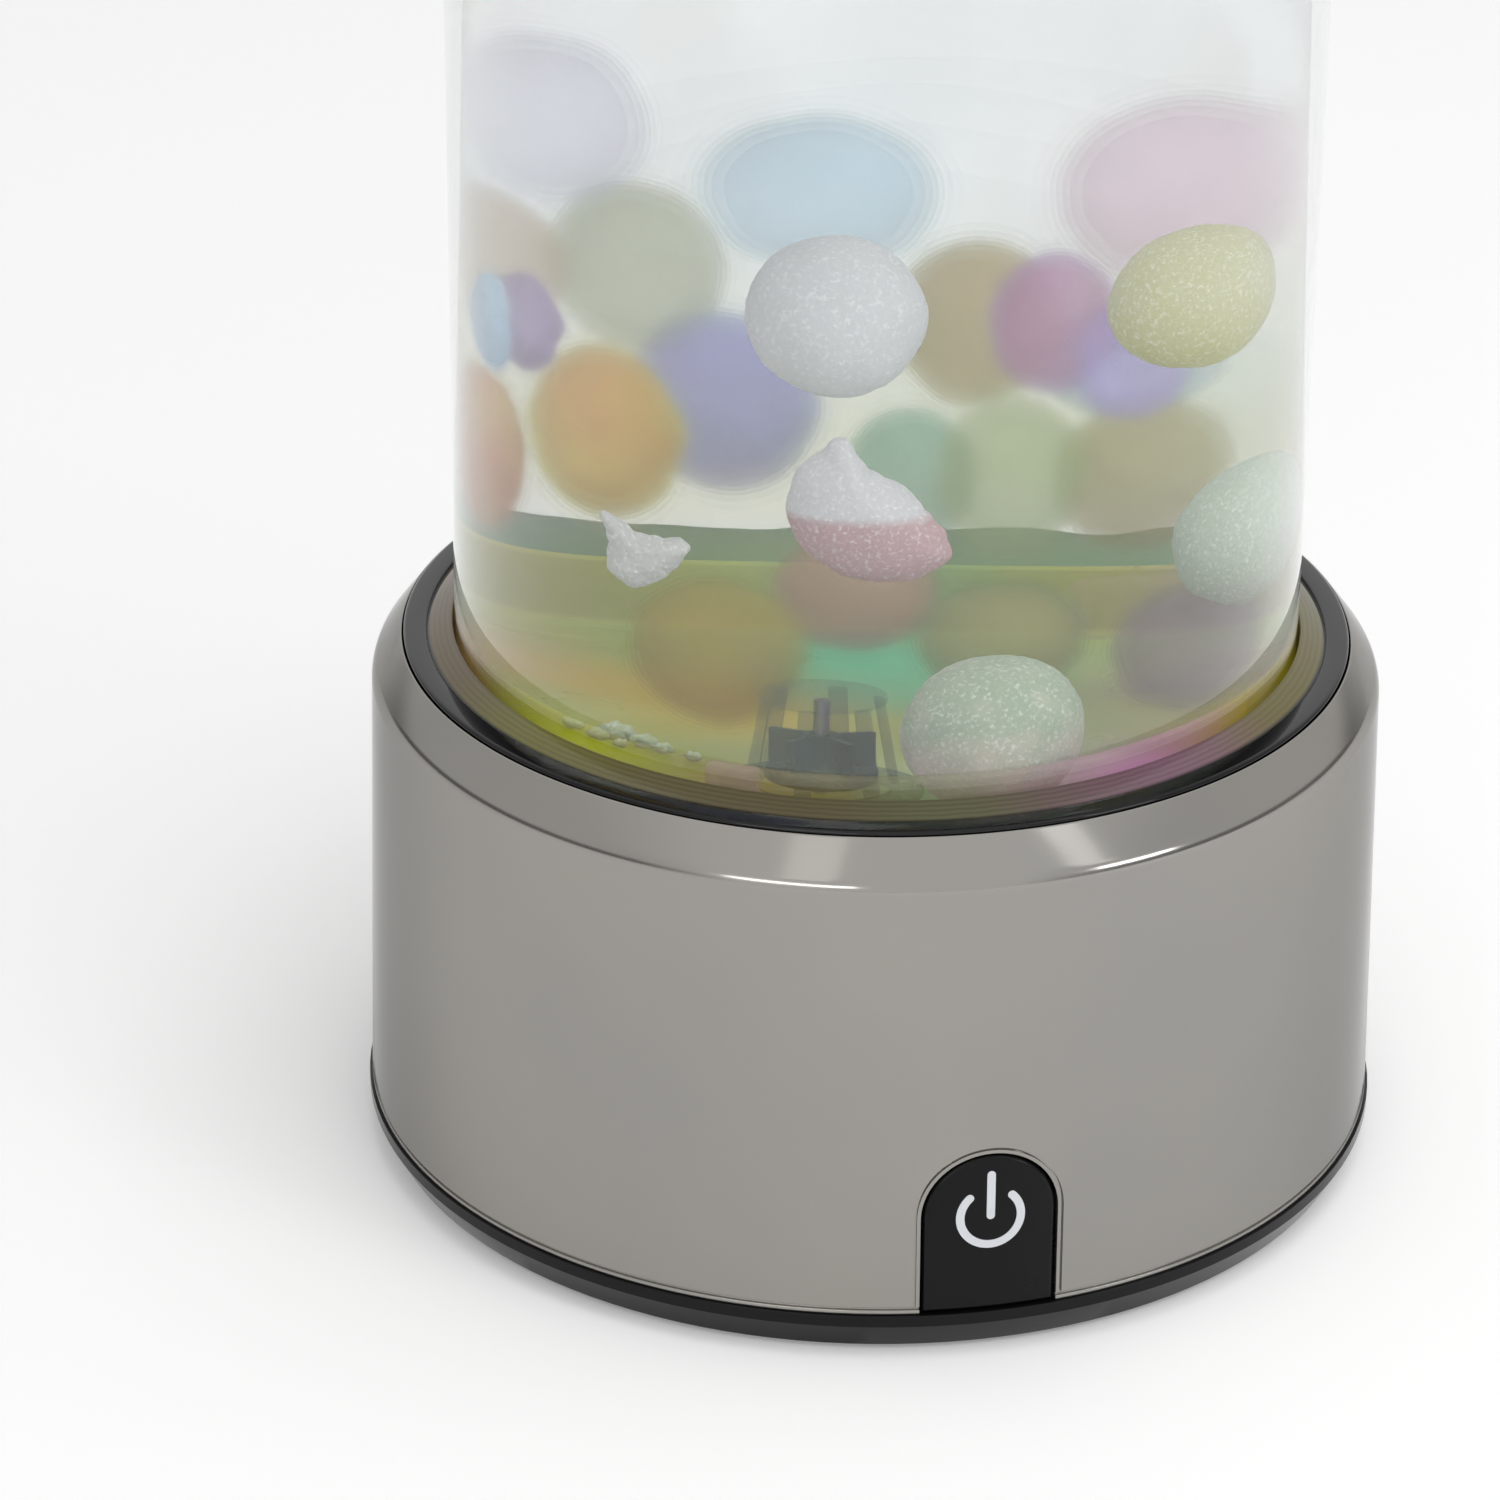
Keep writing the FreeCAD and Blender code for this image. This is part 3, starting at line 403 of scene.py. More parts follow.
def litFloorMaterial(name):
    # clear moulding with the lamp's coloured light painted on it, and a painted glow that lifts its shade:
    # tint and density come from its own attributes
    material, tree, coords = startMaterial(name)
    streak = useGroup(tree, "mottle", coords, 38.0, (0.93, 0.91, 0.87, 1), (0.71, 0.74, 0.74, 1), 0.35, 0.65)
    tint = addMix(tree, 1.0, addPaint(tree, "floorTint"), streak["Colour"], "MULTIPLY")
    return finishMaterial(material, {
        # painted glow: emission in the tint of the light thrown on it
        "Base Color": tint, "Emission Color": tint, "Emission Strength": 0.27, "Specular IOR Level": 0.1,
        "Alpha": addPaint(tree, "veil", "Fac"),
        "Roughness": useGroup(tree, "moulded", coords, 60.0, 0.25, 0.45, 0.4)["Roughness"],
    })


def collarMaterial(name):
    # black gloss; its inner slope carries a painted reflection of the lit liquid, and fine turning lines
    material, tree, coords = startMaterial(name)
    surface = useGroup(tree, "moulded", coords, 35.0, 0.03, 0.08, 0.15)
    rings = addNode(tree, "TexWave", {"Vector": coords, "Scale": 420.0, "Distortion": 1.4}, wave_type="RINGS",
                    rings_direction="Z", wave_profile="SIN")
    lines = addRange(tree, rings.outputs["Fac"], 0.0, 1.0, 0.84, 1.08)
    return finishMaterial(material, {
        "Base Color": addMix(tree, 1.0, addPaint(tree, "collarBlackAndReflection"), lines, "MULTIPLY"),
        "Roughness": surface["Roughness"], "Specular IOR Level": 0.36,
        "Normal": addBump(tree, surface["Height"], 0.03, 0.0005),
    })


look = {
    "board": boardMaterial("board"), "waxWhite": whiteWaxMaterial("waxWhite"),
    "litFloor": litFloorMaterial("litFloor"), "collarBlack": collarMaterial("collarBlack"),
}


def addFinish(name, make, first, second, *values, **more):
    look[name] = make(name, srgb(*first), srgb(*second), *values, **more)


addFinish("shellGrey", plasticMaterial, (158, 155, 149), (152, 150, 146), 0.1, 0.15, bump=0.015, coat=0.06,
          marks=0.08, waveSize=30.0, metallic=0.76, edge=0.55)
addFinish("blackGloss", plasticMaterial, (12, 12, 14), (17, 17, 19), 0.1, 0.2, bump=0.03, specular=0.2,
          marks=0.25, waveSize=35.0)
addFinish("keyBlack", plasticMaterial, (12, 12, 13), (16, 16, 18), 0.2, 0.3, bump=0.03, specular=0.17,
          marks=0.2, waveSize=60.0)
addFinish("signWhite", plasticMaterial, (222, 225, 229), (214, 217, 222), 0.35, 0.5)
addFinish("whitePlastic", plasticMaterial, (226, 227, 225), (216, 217, 214), 0.35, 0.5, bump=0.08)
addFinish("darkPlastic", plasticMaterial, (40, 41, 44), (52, 53, 56), 0.38, 0.55, bump=0.12)
addFinish("footRubber", rubberMaterial, (34, 34, 36), (46, 46, 48))
addFinish("steel", metalMaterial, (178, 180, 184), (160, 162, 168), 0.22, 0.38)
addFinish("magnet", metalMaterial, (120, 122, 126), (98, 99, 104), 0.3, 0.45)
addFinish("brass", metalMaterial, (214, 178, 96), (190, 150, 78), 0.2, 0.32)
addFinish("ledRed", ledMaterial, (236, 90, 84), (250, 130, 120))
addFinish("ledGreen", ledMaterial, (120, 220, 120), (160, 236, 150))
addFinish("ledBlue", ledMaterial, (100, 140, 240), (140, 170, 250))
addFinish("tubeClear", clearMaterial, (250, 251, 251), (246, 248, 248), 1.49, 0.35)
addFinish("liquidClear", clearMaterial, (252, 253, 253), (249, 251, 251), 1.33, 0.0)
print("stage: materials made")


# tints thrown by the lamp's light, as patches laid out from the front of the tank

tankFront = Vector((-0.2099, -0.9777, 0))
tankRight = Vector((0.9777, -0.2099, 0))
floorPatches = [  # right of the axis, behind the front of the floor, size, tint
    (-32, 98, 9, (166, 128, 106)), (-36, 84, 10, (160, 134, 104)), (-21, 98, 12, (148, 154, 88)),
    (-17, 72, 14, (170, 144, 62)), (-31, 58, 9, (144, 150, 84)), (0, 98, 13, (88, 176, 150)),
    (2, 80, 10, (98, 156, 134)), (13, 106, 8, (154, 156, 98)), (20, 92, 12, (142, 156, 112)),
    (33, 84, 12, (146, 128, 122)), (36, 58, 10, (172, 148, 92)), (26, 56, 9, (140, 150, 116)),
    (-40, 34, 12, (196, 204, 78)), (-14, 24, 10, (150, 138, 84)), (-22, 22, 7, (188, 166, 140)),
    (-5, 22, 7, (84, 92, 58)), (8, 24, 9, (150, 172, 146)), (-31, 26, 7, (176, 184, 116)),
    (33, 30, 8, (206, 140, 200)), (45, 46, 9, (190, 166, 72)), (22, 34, 7, (160, 150, 150)),
    (33, 46, 7, (122, 98, 120)),
]
wallPatches = [  # the same, for the floor's wall
    (-42, 18, 13, (206, 204, 100)), (-28, 6, 13, (172, 158, 126)), (-12, 1, 14, (160, 138, 112)),
    (8, 0, 12, (172, 174, 144)), (24, 5, 9, (196, 150, 176)), (36, 14, 12, (222, 150, 206)),
    (48, 32, 13, (182, 164, 60)), (51, 50, 10, (178, 158, 50)), (-54, 44, 15, (166, 128, 94)),
    (-50, 72, 10, (174, 114, 86)), (-44, 90, 9, (172, 118, 92)), (-31, 103, 8, (168, 130, 102)),
    (-20, 108, 7, (148, 150, 96)), (-8, 111, 7, (152, 164, 110)), (2, 112, 7, (108, 162, 134)),
    (11, 111, 7, (142, 156, 104)), (18, 109, 6, (158, 154, 92)), (26, 106, 7, (140, 130, 124)),
    (38, 97, 8, (156, 146, 104)),
]
patchMix = {"frontReach": 56, "baseShare": 0.25, "vivid": 1.3, "darkest": 0.003}


def patchTint(point, patches, base):
    p = patchMix
    right, behind = point.dot(tankRight), p["frontReach"] - point.dot(tankFront)
    mixed = mixPatches(right, behind, patches, base, p["baseShare"], p["vivid"])
    return Vector([max(c, p["darkest"]) for c in mixed])


# grey shell of the base

shell = {
    "radius": 75.0, "bottom": 7.0, "creaseRadius": 73.6, "creaseHeight": 73.45,
    "openingRadius": 69.1, "topHeight": 79.3, "lipBottom": 73.5, "innerRadius": 71.1,
    "grooveLow": 7.7, "grooveHigh": 8.15, "grooveDepth": 0.4, "grooveWall": 0.08,
    "windowHalf": 9.85, "archCentre": 22.1, "archGroove": (0.5, 0.85), "coreTop": 80,
    "inletHoleRadius": 4.0, "inletHeight": 17.1, "inletY": 75, "inletCut": 30,
    "cutFront": -90, "grooveBack": -60, "windowBack": -40, "steps": 288,
}


def shellRadiusAt(z):
    s = shell
    share = (z - s["bottom"]) / (s["creaseHeight"] - s["bottom"])
    return s["radius"] + (s["creaseRadius"] - s["radius"]) * share


def buildShell():
    s = shell
    low, high, deep, wall = s["grooveLow"], s["grooveHigh"], s["grooveDepth"], s["grooveWall"]
    bm = turnedBody([
        (s["innerRadius"], s["bottom"], 0), (shellRadiusAt(s["bottom"]), s["bottom"], 0.25),
        (shellRadiusAt(low), low, 0.15), (shellRadiusAt(low) - deep, low + wall, wall),
        (shellRadiusAt(high) - deep, high - wall, wall), (shellRadiusAt(high), high, 0.15),
        (s["creaseRadius"], s["creaseHeight"], 1.3), (s["openingRadius"], s["topHeight"], 0.5),
        (s["openingRadius"], s["lipBottom"], 0), (s["innerRadius"], s["lipBottom"], 0),
    ], steps=s["steps"])
    obj = finishPiece("baseShell", bm, look["shellGrey"], replaces="base_shell")
    # fine groove that follows the arch, only as deep as the one round the foot
    near, far = s["archGroove"]
    front, back, centre = s["cutFront"], s["grooveBack"], s["archCentre"]
    ring = cutterOf(archPrism(s["windowHalf"] + far, low + 0.1, centre, front, back))
    cutAway(ring, cutterOf(archPrism(s["windowHalf"] + near, low - 4, centre, front - 2, back + 2)))
    cutAway(ring, cutterOf(turnedBody([
        (0, 0, 0), (s["radius"] - deep, s["bottom"], 0),
        (s["creaseRadius"] - deep, s["creaseHeight"], 0), (0, s["coreTop"], 0),
    ], steps=s["steps"])))
    cutAway(obj, ring)
    cutAway(obj, cutterOf(archPrism(s["windowHalf"], s["bottom"] - 3, centre, front, s["windowBack"])))
    hole = bmesh.new()
    place = Matrix.Translation((0, s["inletY"], s["inletHeight"])) @ Matrix.Rotation(math.pi / 2, 4, "X")
    addRod(hole, s["inletHoleRadius"], s["inletCut"], place)
    cutAway(obj, cutterOf(hole))
    smoothByAngle(obj, 32)


buildShell()
print("stage: shell made")


# collar between shell and tank

collar = {
    "boreRadius": 61.7, "outerRadius": 68.9, "beadInner": 65.5, "bottom": 70.0, "beadTop": 79.7, "step": 79.3,
    "innerTop": 81.0, "black": (6, 6, 8), "reflectionBase": (96, 92, 66), "slopeReflection": (108, 108, 82),
}


# black, and on the inner slope a dimmed painted reflection of the lamp's coloured light in the liquid
def collarBlackAndReflection(point):
    c = collar
    onSlope = math.hypot(point.x, point.y) < c["beadInner"] - 0.3 and point.z > c["step"] - 1
    if not onSlope:
        return tintOf(c["black"])
    return patchTint(point * 0.9, wallPatches, c["reflectionBase"]).lerp(tintOf(c["slopeReflection"]), 0.62) * 0.52


def buildCollar():
    c = collar
    bm = turnedBody([
        (c["boreRadius"], c["bottom"], 0), (c["outerRadius"], c["bottom"], 0),
        (c["outerRadius"], c["beadTop"], 0.55), (c["beadInner"], c["beadTop"], 0.35),
        (c["beadInner"] - 0.1, c["step"], 0.1), (c["beadInner"] - 0.5, c["step"] + 0.22, 0),
        (c["boreRadius"], c["innerTop"], 0.3),
    ], steps=288)
    paintPoints(bm, "collarBlackAndReflection", collarBlackAndReflection)
    finishPiece("collarRing", bm, look["collarBlack"], replaces="collar_ring")


buildCollar()

# tray with the stepped foot rim, and what sits under it

tray = {"edge": 0.35, "segments": 3, "sharp": 33}


def buildTray():
    # copy of the CAD node, merged and with its edges broken
    bm = bmesh.new()
    bm.from_mesh(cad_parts["base_tray"].data)
    bmesh.ops.remove_doubles(bm, verts=bm.verts, dist=2e-6)
    bmesh.ops.dissolve_limit(bm, angle_limit=math.radians(0.6), verts=bm.verts, edges=bm.edges)
    obj = meshObject("baseTray", bm, look["blackGloss"])
    smoothByAngle(obj, tray["sharp"])
    edges = obj.modifiers.new("edges", "BEVEL")
    edges.width = tray["edge"] * mm
    edges.segments = tray["segments"]
    edges.limit_method = "ANGLE"
    edges.angle_limit = math.radians(tray["sharp"] + 2)
    edges.use_clamp_overlap = True
    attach(obj, "base")
    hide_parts("base_tray")


feet = {"circle": 62.0, "radius": 5.5, "thickness": 1.0, "count": 4, "edge": 0.35}


def buildFeet():
    f = feet
    bm = bmesh.new()
    for i in range(f["count"]):
        place = Matrix.Translation((f["circle"], 0, f["thickness"] / 2))
        addRod(bm, f["radius"], f["thickness"], Matrix.Rotation(math.tau * i / f["count"], 4, "Z") @ place)
    rims = [e for e in bm.edges if all(abs(v.co.z) < 1e-5 for v in e.verts)]
    roundOff(bm, rims, f["edge"], 3)
    finishPiece("rubberFeet", bm, look["footRubber"], replaces="rubber_feet")


buildTray()
buildFeet()
print("stage: collar, tray and feet made")


# power key and its sign

key = {
    "halfWidth": 9.45, "low": 7.25, "archCentre": 22.1, "thickness": 2.4, "edgeRounding": 0.7,
    "hingeY": -67.7, "hingeZ": 9.7, "barrelRadius": 2.14, "backY": -73.2,
    "lugCentre": 7.5, "lugWidth": 2.6, "pusherWidth": 5.0, "pusherEnd": -68.25, "stripWidth": 0.45,
}


def wrapOnShell(verts):
    # lays a flat drawing in X and Z on the shell's outside, Y counts inwards from it
    for v in verts:
        radius = shellRadiusAt(v.co.z) - v.co.y
        v.co.y = -math.sqrt(radius * radius - v.co.x * v.co.x)


def buildKey():
    k = key
    bm = archPrism(k["halfWidth"], k["low"], k["archCentre"], 0, k["thickness"], segments=56)
    roundOff(bm, [e for e in bm.edges if all(abs(v.co.y) < 1e-6 for v in e.verts)], k["edgeRounding"], 5)
    x = -k["halfWidth"] + k["stripWidth"]
    while x < k["halfWidth"]:
        bmesh.ops.bisect_plane(bm, geom=list(bm.verts) + list(bm.edges) + list(bm.faces), dist=1e-4,
                               plane_co=(x, 0, 0), plane_no=(1, 0, 0))
        x += k["stripWidth"]
    wrapOnShell(bm.verts)
    for side in (-1, 1):
        x = side * k["lugCentre"]
        place = Matrix.Translation((x, k["hingeY"], k["hingeZ"])) @ Matrix.Rotation(math.pi / 2, 4, "Y")
        addRod(bm, k["barrelRadius"], k["lugWidth"], place, segments=32)
        addBlock(bm, Matrix.Translation((x, (k["hingeY"] + k["backY"]) / 2, k["hingeZ"])),
                 (k["lugWidth"], k["hingeY"] - k["backY"], k["barrelRadius"] * 2))
    reach = k["pusherEnd"] - k["backY"]
    addBlock(bm, Matrix.Translation((0, k["pusherEnd"] - reach / 2, k["archCentre"])),
             (k["pusherWidth"], reach, k["pusherWidth"]))
    finishPiece("powerKey", bm, look["keyBlack"], body="power_key", replaces="power_button",
                angle=28)


sign = {"centre": 22.0, "radius": 4.35, "stroke": 1.2, "gapHalfAngle": 44, "barLow": 21.6, "barHigh": 29.2,
        "raise": 0.06, "sunk": 0.1}


def buildSign():
    # generic power sign: open ring with an upright bar, printed on the key
    s = sign
    bm = bmesh.new()
    half = s["stroke"] / 2
    upright = Matrix.Rotation(math.pi / 2, 4, "X")
    start = math.radians(90 + s["gapHalfAngle"])
    sweep = math.tau - 2 * math.radians(s["gapHalfAngle"])
    direction = Vector((math.cos(start), 0, math.sin(start)))
    centre = Vector((0, 0, s["centre"]))
    ends = [bm.verts.new(centre + direction * (s["radius"] + d)) for d in (-half, half)]
    edge = bm.edges.new(ends)
    bmesh.ops.spin(bm, geom=[edge, *ends], cent=centre, axis=(0, -1, 0), dvec=(0, 0, 0), angle=sweep,
                   steps=72)
    tips = [Vector((0, 0, s["barLow"] + half)), Vector((0, 0, s["barHigh"] - half))]
    for turn in (start + sweep, start):
        tips.insert(0, centre + Vector((math.cos(turn), 0, math.sin(turn))) * s["radius"])
    for tip in tips:
        bmesh.ops.create_circle(bm, cap_ends=True, segments=32, radius=half,
                                matrix=Matrix.Translation(tip) @ upright)
    length = s["barHigh"] - s["barLow"] - s["stroke"]
    middle = Matrix.Translation((0, 0, (s["barLow"] + s["barHigh"]) / 2))
    bmesh.ops.create_grid(bm, x_segments=4, y_segments=8, size=0.5,
                          matrix=middle @ upright @ Matrix.Diagonal((s["stroke"], length, 1, 1)))
    for v in bm.verts:
        v.co.y = -s["raise"]
    bmesh.ops.recalc_face_normals(bm, faces=bm.faces)
    for f in bm.faces:
        if f.normal.y > 0:
            f.normal_flip()
    made = bmesh.ops.extrude_face_region(bm, geom=list(bm.faces), use_keep_orig=True)
    for v in made["geom"]:
        if isinstance(v, bmesh.types.BMVert):
            v.co.y = s["sunk"]
    wrapOnShell(bm.verts)
    finishPiece("powerSign", bm, look["signWhite"], body="power_key", angle=40)


buildKey()
buildSign()
print("stage: key and sign made")


# tank: tube, liquid, cup-shaped floor

tank = {
    "outer": 61.4, "inner": 58.4, "bottom": 70.0, "top": 328.0,
    "liquidRadius": 58.37, "liquidBottom": 70.08, "liquidTop": 325.0,
    "cupOuter": 58.33, "cupInner": 56.05, "floorTop": 73.0, "cupBottom": 70.12, "rimTop": 83.0,
    "floorRings": 14, "floorBase": (138, 146, 100),
    "lugAngle": -33.5, "lugSize": (7.0, 4.0, 9.0), "lugTint": (176, 152, 140), "lugVeils": (0.45, 0.12),
}


def cupTint(point):
    # painted light: the lamp's coloured light on the floor and its wall
    wall = math.hypot(point.x, point.y) > tank["cupInner"] - 0.5
    return patchTint(point, wallPatches if wall else floorPatches, tank["floorBase"])


def cupVeil(point):
    # the near wall is thinner, so that the floor shows through it
    wall = math.hypot(point.x, point.y) > tank["cupInner"] - 0.5
    return 0.95 - 0.75 * limited(point.dot(tankFront) / 40) if wall else 0.96


def buildTank():
    t = tank
    inner, outer, floor, rim = t["cupInner"], t["cupOuter"], t["floorTop"], t["rimTop"]
    tube = turnedBody([(t["inner"], t["bottom"], 0.3), (t["outer"], t["bottom"], 0.3),
                       (t["outer"], t["top"], 0.3), (t["inner"], t["top"], 0.3)], steps=288)
    finishPiece("tankTube", tube, look["tubeClear"], replaces="tank_tube", shades=False)
    low, high = t["liquidBottom"], t["liquidTop"]
    liquid = turnedBody([(0, low, 0), (t["liquidRadius"], low, 0), (t["liquidRadius"], high, 0),
                         (0, high, 0)], steps=288)
    finishPiece("tankLiquid", liquid, look["liquidClear"], shades=False)
    rings = [(inner * i / t["floorRings"], floor, 0) for i in range(t["floorRings"] - 1, 0, -1)]
    cup = turnedBody([
        (0, t["cupBottom"], 0), (outer, t["cupBottom"], 0.2), (outer, floor + 3, 0), (outer, rim - 2, 0),
        (outer, rim, 0.5), (inner, rim, 0.5), (inner, rim - 2, 0), (inner, floor + 3, 0), (inner, floor, 1.0),
        *rings, (0, floor, 0),
    ], steps=192)
    paintPoints(cup, "floorTint", cupTint, cupVeil)
    finishPiece("tankFloor", cup, look["litFloor"], replaces="tank_floor", shades=False)
    lugs = bmesh.new()
    _, depth, height = t["lugSize"]
    place = Matrix.Translation((0, -inner + depth / 2 - 0.2, floor + height / 2))
    for i in range(4):
        turn = Matrix.Rotation(math.radians(t["lugAngle"] + 90 * i), 4, "Z")
        addBlock(lugs, turn @ place, t["lugSize"])
    roundOff(lugs, list(lugs.edges), 0.6, 3)
    near, far = t["lugVeils"]
    paintPoints(lugs, "floorTint", lambda point: tintOf(t["lugTint"]),
                lambda point: near if point.dot(tankFront) > 0 else far)
    finishPiece("tankLugs", lugs, look["litFloor"], shades=False)


band = {
    "radius": 57.7, "thick": 0.4, "low": 82.9, "high": 88.3, "rows": 5, "leftRise": 7.0, "ragged": 0.9,
    "lowTint": (106, 146, 114), "highTint": (60, 112, 108), "leftTint": (176, 122, 104),
}


def bandShare(point):
    return (point.z - band["low"]) / (band["high"] - band["low"])


def bandReflectionTint(point):
    b = band
    right = point.dot(tankRight)
    foot = tintOf(b["lowTint"]).lerp(tintOf(b["leftTint"]), limited((-right - 30) / 12))
    # painted reflection tints, low to high, and darker towards the left
    return foot.lerp(tintOf(b["highTint"]), bandShare(point) ** 2) * (1 - 0.35 * limited((-right - 4) / 22))


def bandVeil(point):
    return (0.94 - 0.16 * bandShare(point)) * limited((-point.dot(tankFront) - 4) / 22)


def buildFarReflection():
    # painted reflection of the lit floor in the far wall of the tube, dark and ragged along its top
    b = band
    heights = [b["low"] + (b["high"] - b["low"]) * i / b["rows"] for i in range(b["rows"] + 1)]
    inner = [(b["radius"] - b["thick"], z, 0) for z in reversed(heights)]
    bm = turnedBody([(b["radius"], z, 0) for z in heights] + inner)
    paintPoints(bm, "floorTint", bandReflectionTint, bandVeil)
    for v in bm.verts:
        right, ahead = v.co.dot(tankRight), v.co.dot(tankFront)
        rise = b["leftRise"] * limited((-right - 30) / 26) ** 2
        v.co.z += bandShare(v.co) * (rise + b["ragged"] * noise.noise(Vector((right * 0.22, ahead * 0.1, 0))))
    finishPiece("tankFarReflection", bm, look["litFloor"], shades=False)


buildTank()
buildFarReflection()
print("stage: tank made")


# impeller cage and what turns in it

drive = {
    "axis": (-13.3, -28.7), "floor": 73.0, "footOuter": 12.4, "footInner": 8.5, "footTop": 74.2,
    "lidRadius": 7.9, "lidBottom": 87.0, "lidTop": 88.0,
    "bars": 6, "barWidth": 2.2, "barThick": 1.0, "barLow": 9.0, "barHigh": 7.0, "cageTint": (48, 74, 70),
    "wheelBottom": 74.9, "wheelTop": 76.9, "vaneTop": 81.9, "wheelRadius": 6.9, "hubRadius": 2.3, "bore": 1.1,
    "vanes": 5, "vaneReach": 6.6, "vaneThick": 0.9, "wheelTints": ((22, 38, 38), (84, 98, 78)),
    "canRadius": 12.1, "canBottom": 40.9, "canTop": 55.9,
    "bossRadius": 3.0, "bossTop": 57.1, "bossBore": 1.02,
}


def mergeInto(bm, other):
    mesh = bpy.data.meshes.new("part")
    other.to_mesh(mesh)
    other.free()
    bm.from_mesh(mesh)
    bpy.data.meshes.remove(mesh)


def turnAbout(axis, i, count):
    return Matrix.Translation((*axis, 0)) @ Matrix.Rotation(math.tau * i / count, 4, "Z")


def buildCage():
    d = drive
    cage = turnedBody([(d["footInner"], d["floor"], 0), (d["footOuter"], d["floor"], 0),
                       (d["footOuter"], d["footTop"], 0.5), (d["footInner"], d["footTop"], 0.3)],
                      steps=64, axis=d["axis"])
    mergeInto(cage, turnedBody([(0, d["lidBottom"], 0), (d["lidRadius"], d["lidBottom"], 0.2),
                                (d["lidRadius"], d["lidTop"], 0.45), (0, d["lidTop"], 0)],
                               steps=64, axis=d["axis"]))
    height = d["lidBottom"] - d["footTop"] + 0.4
    lean = Matrix.Rotation(-math.atan2(d["barLow"] - d["barHigh"], height), 4, "Y")
    place = Matrix.Translation(((d["barLow"] + d["barHigh"]) / 2, 0, (d["footTop"] + d["lidBottom"]) / 2))
    for i in range(d["bars"]):
        made = addBlock(cage, turnAbout(d["axis"], i, d["bars"]) @ place @ lean,
                        (d["barThick"], d["barWidth"], height))
        roundOff(cage, list({e for v in made for e in v.link_edges}), 0.25, 2)
    top = d["lidBottom"] - 0.1
    paintPoints(cage, "floorTint", lambda point: tintOf(d["cageTint"]),
                lambda point: 0.3 if point.z < top else 0.16)
    finishPiece("impellerCage", cage, look["litFloor"], replaces="impeller_cage",
                shades=False)


def wheelTint(point):
    dark, light = drive["wheelTints"]
    return tintOf(dark).lerp(tintOf(light), limited(0.5 + 0.9 * noise.noise(point * 0.22)))


def buildWheel():
    d = drive
    wheel = turnedBody([(d["bore"], d["wheelBottom"], 0), (d["wheelRadius"], d["wheelBottom"], 0.3),
                        (d["wheelRadius"], d["wheelTop"], 0.4), (d["hubRadius"], d["wheelTop"], 0.5),
                        (d["hubRadius"], d["vaneTop"], 0.4), (d["bore"], d["vaneTop"], 0)],
                       steps=64, axis=d["axis"])
    middle, height = (d["hubRadius"] + d["vaneReach"]) / 2 - 0.1, (d["wheelTop"] + d["vaneTop"]) / 2 - 0.1
    size = (d["vaneReach"] - d["hubRadius"] + 0.2, d["vaneThick"], d["vaneTop"] - d["wheelTop"] + 0.2)
    for i in range(d["vanes"]):
        addBlock(wheel, turnAbout(d["axis"], i, d["vanes"]) @ Matrix.Translation((middle, 0, height)), size)
    paintPoints(wheel, "floorTint", wheelTint, lambda point: 0.82)
    finishPiece("impellerWheel", wheel, look["litFloor"], body="stirrer", replaces="impeller",
                shades=False)


def buildMotor():
    d = drive
    can = turnedBody([(0, d["canBottom"], 0), (d["canRadius"], d["canBottom"], 0.6),
                      (d["canRadius"], d["canTop"], 1.0), (d["bossRadius"], d["canTop"], 0.3),
                      (d["bossRadius"], d["bossTop"], 0.3), (d["bossBore"], d["bossTop"], 0),
                      (d["bossBore"], d["canTop"], 0), (0, d["canTop"], 0)], steps=96, axis=d["axis"])
    finishPiece("driveMotor", can, look["steel"], replaces="drive_motor")


buildCage()
buildWheel()
buildMotor()

# lid and cap

cap = {"outer": 66.0, "inner": 61.7, "bottom": 322.5, "top": 360.0, "roof": 357.5, "slope": 4.4,
       "grooveLow": 323.6, "grooveHigh": 324.1, "grooveDepth": 0.4}
lid = {"outer": 61.4, "hole": 4.05, "bottom": 328.0, "top": 331.0}


def buildCap():
    c = cap
    groove, slope = c["outer"] - c["grooveDepth"], c["slope"]
    bm = turnedBody([
        (c["inner"], c["bottom"], 0.3), (c["outer"], c["bottom"], 0.4), (c["outer"], c["grooveLow"], 0.12),
        (groove, c["grooveLow"] + 0.1, 0.08), (groove, c["grooveHigh"] - 0.1, 0.08),
        (c["outer"], c["grooveHigh"], 0.12), (c["outer"], c["top"] - slope, 3.2),
        (c["outer"] - slope, c["top"], 3.2), (0, c["top"], 0), (0, c["roof"], 0),
        (c["inner"], c["roof"], 1.0),
    ], steps=288)
    finishPiece("topCap", bm, look["shellGrey"], replaces="top_cap")


def buildLid():
    n = lid
    bm = turnedBody([(n["hole"], n["bottom"], 0), (n["outer"], n["bottom"], 0.3), (n["outer"], n["top"], 0.8),
                     (n["hole"], n["top"], 0.4)], steps=192)
    finishPiece("tankLid", bm, look["whitePlastic"], replaces="tank_lid")


buildCap()
buildLid()
print("stage: cage, lid and cap made")


# wax

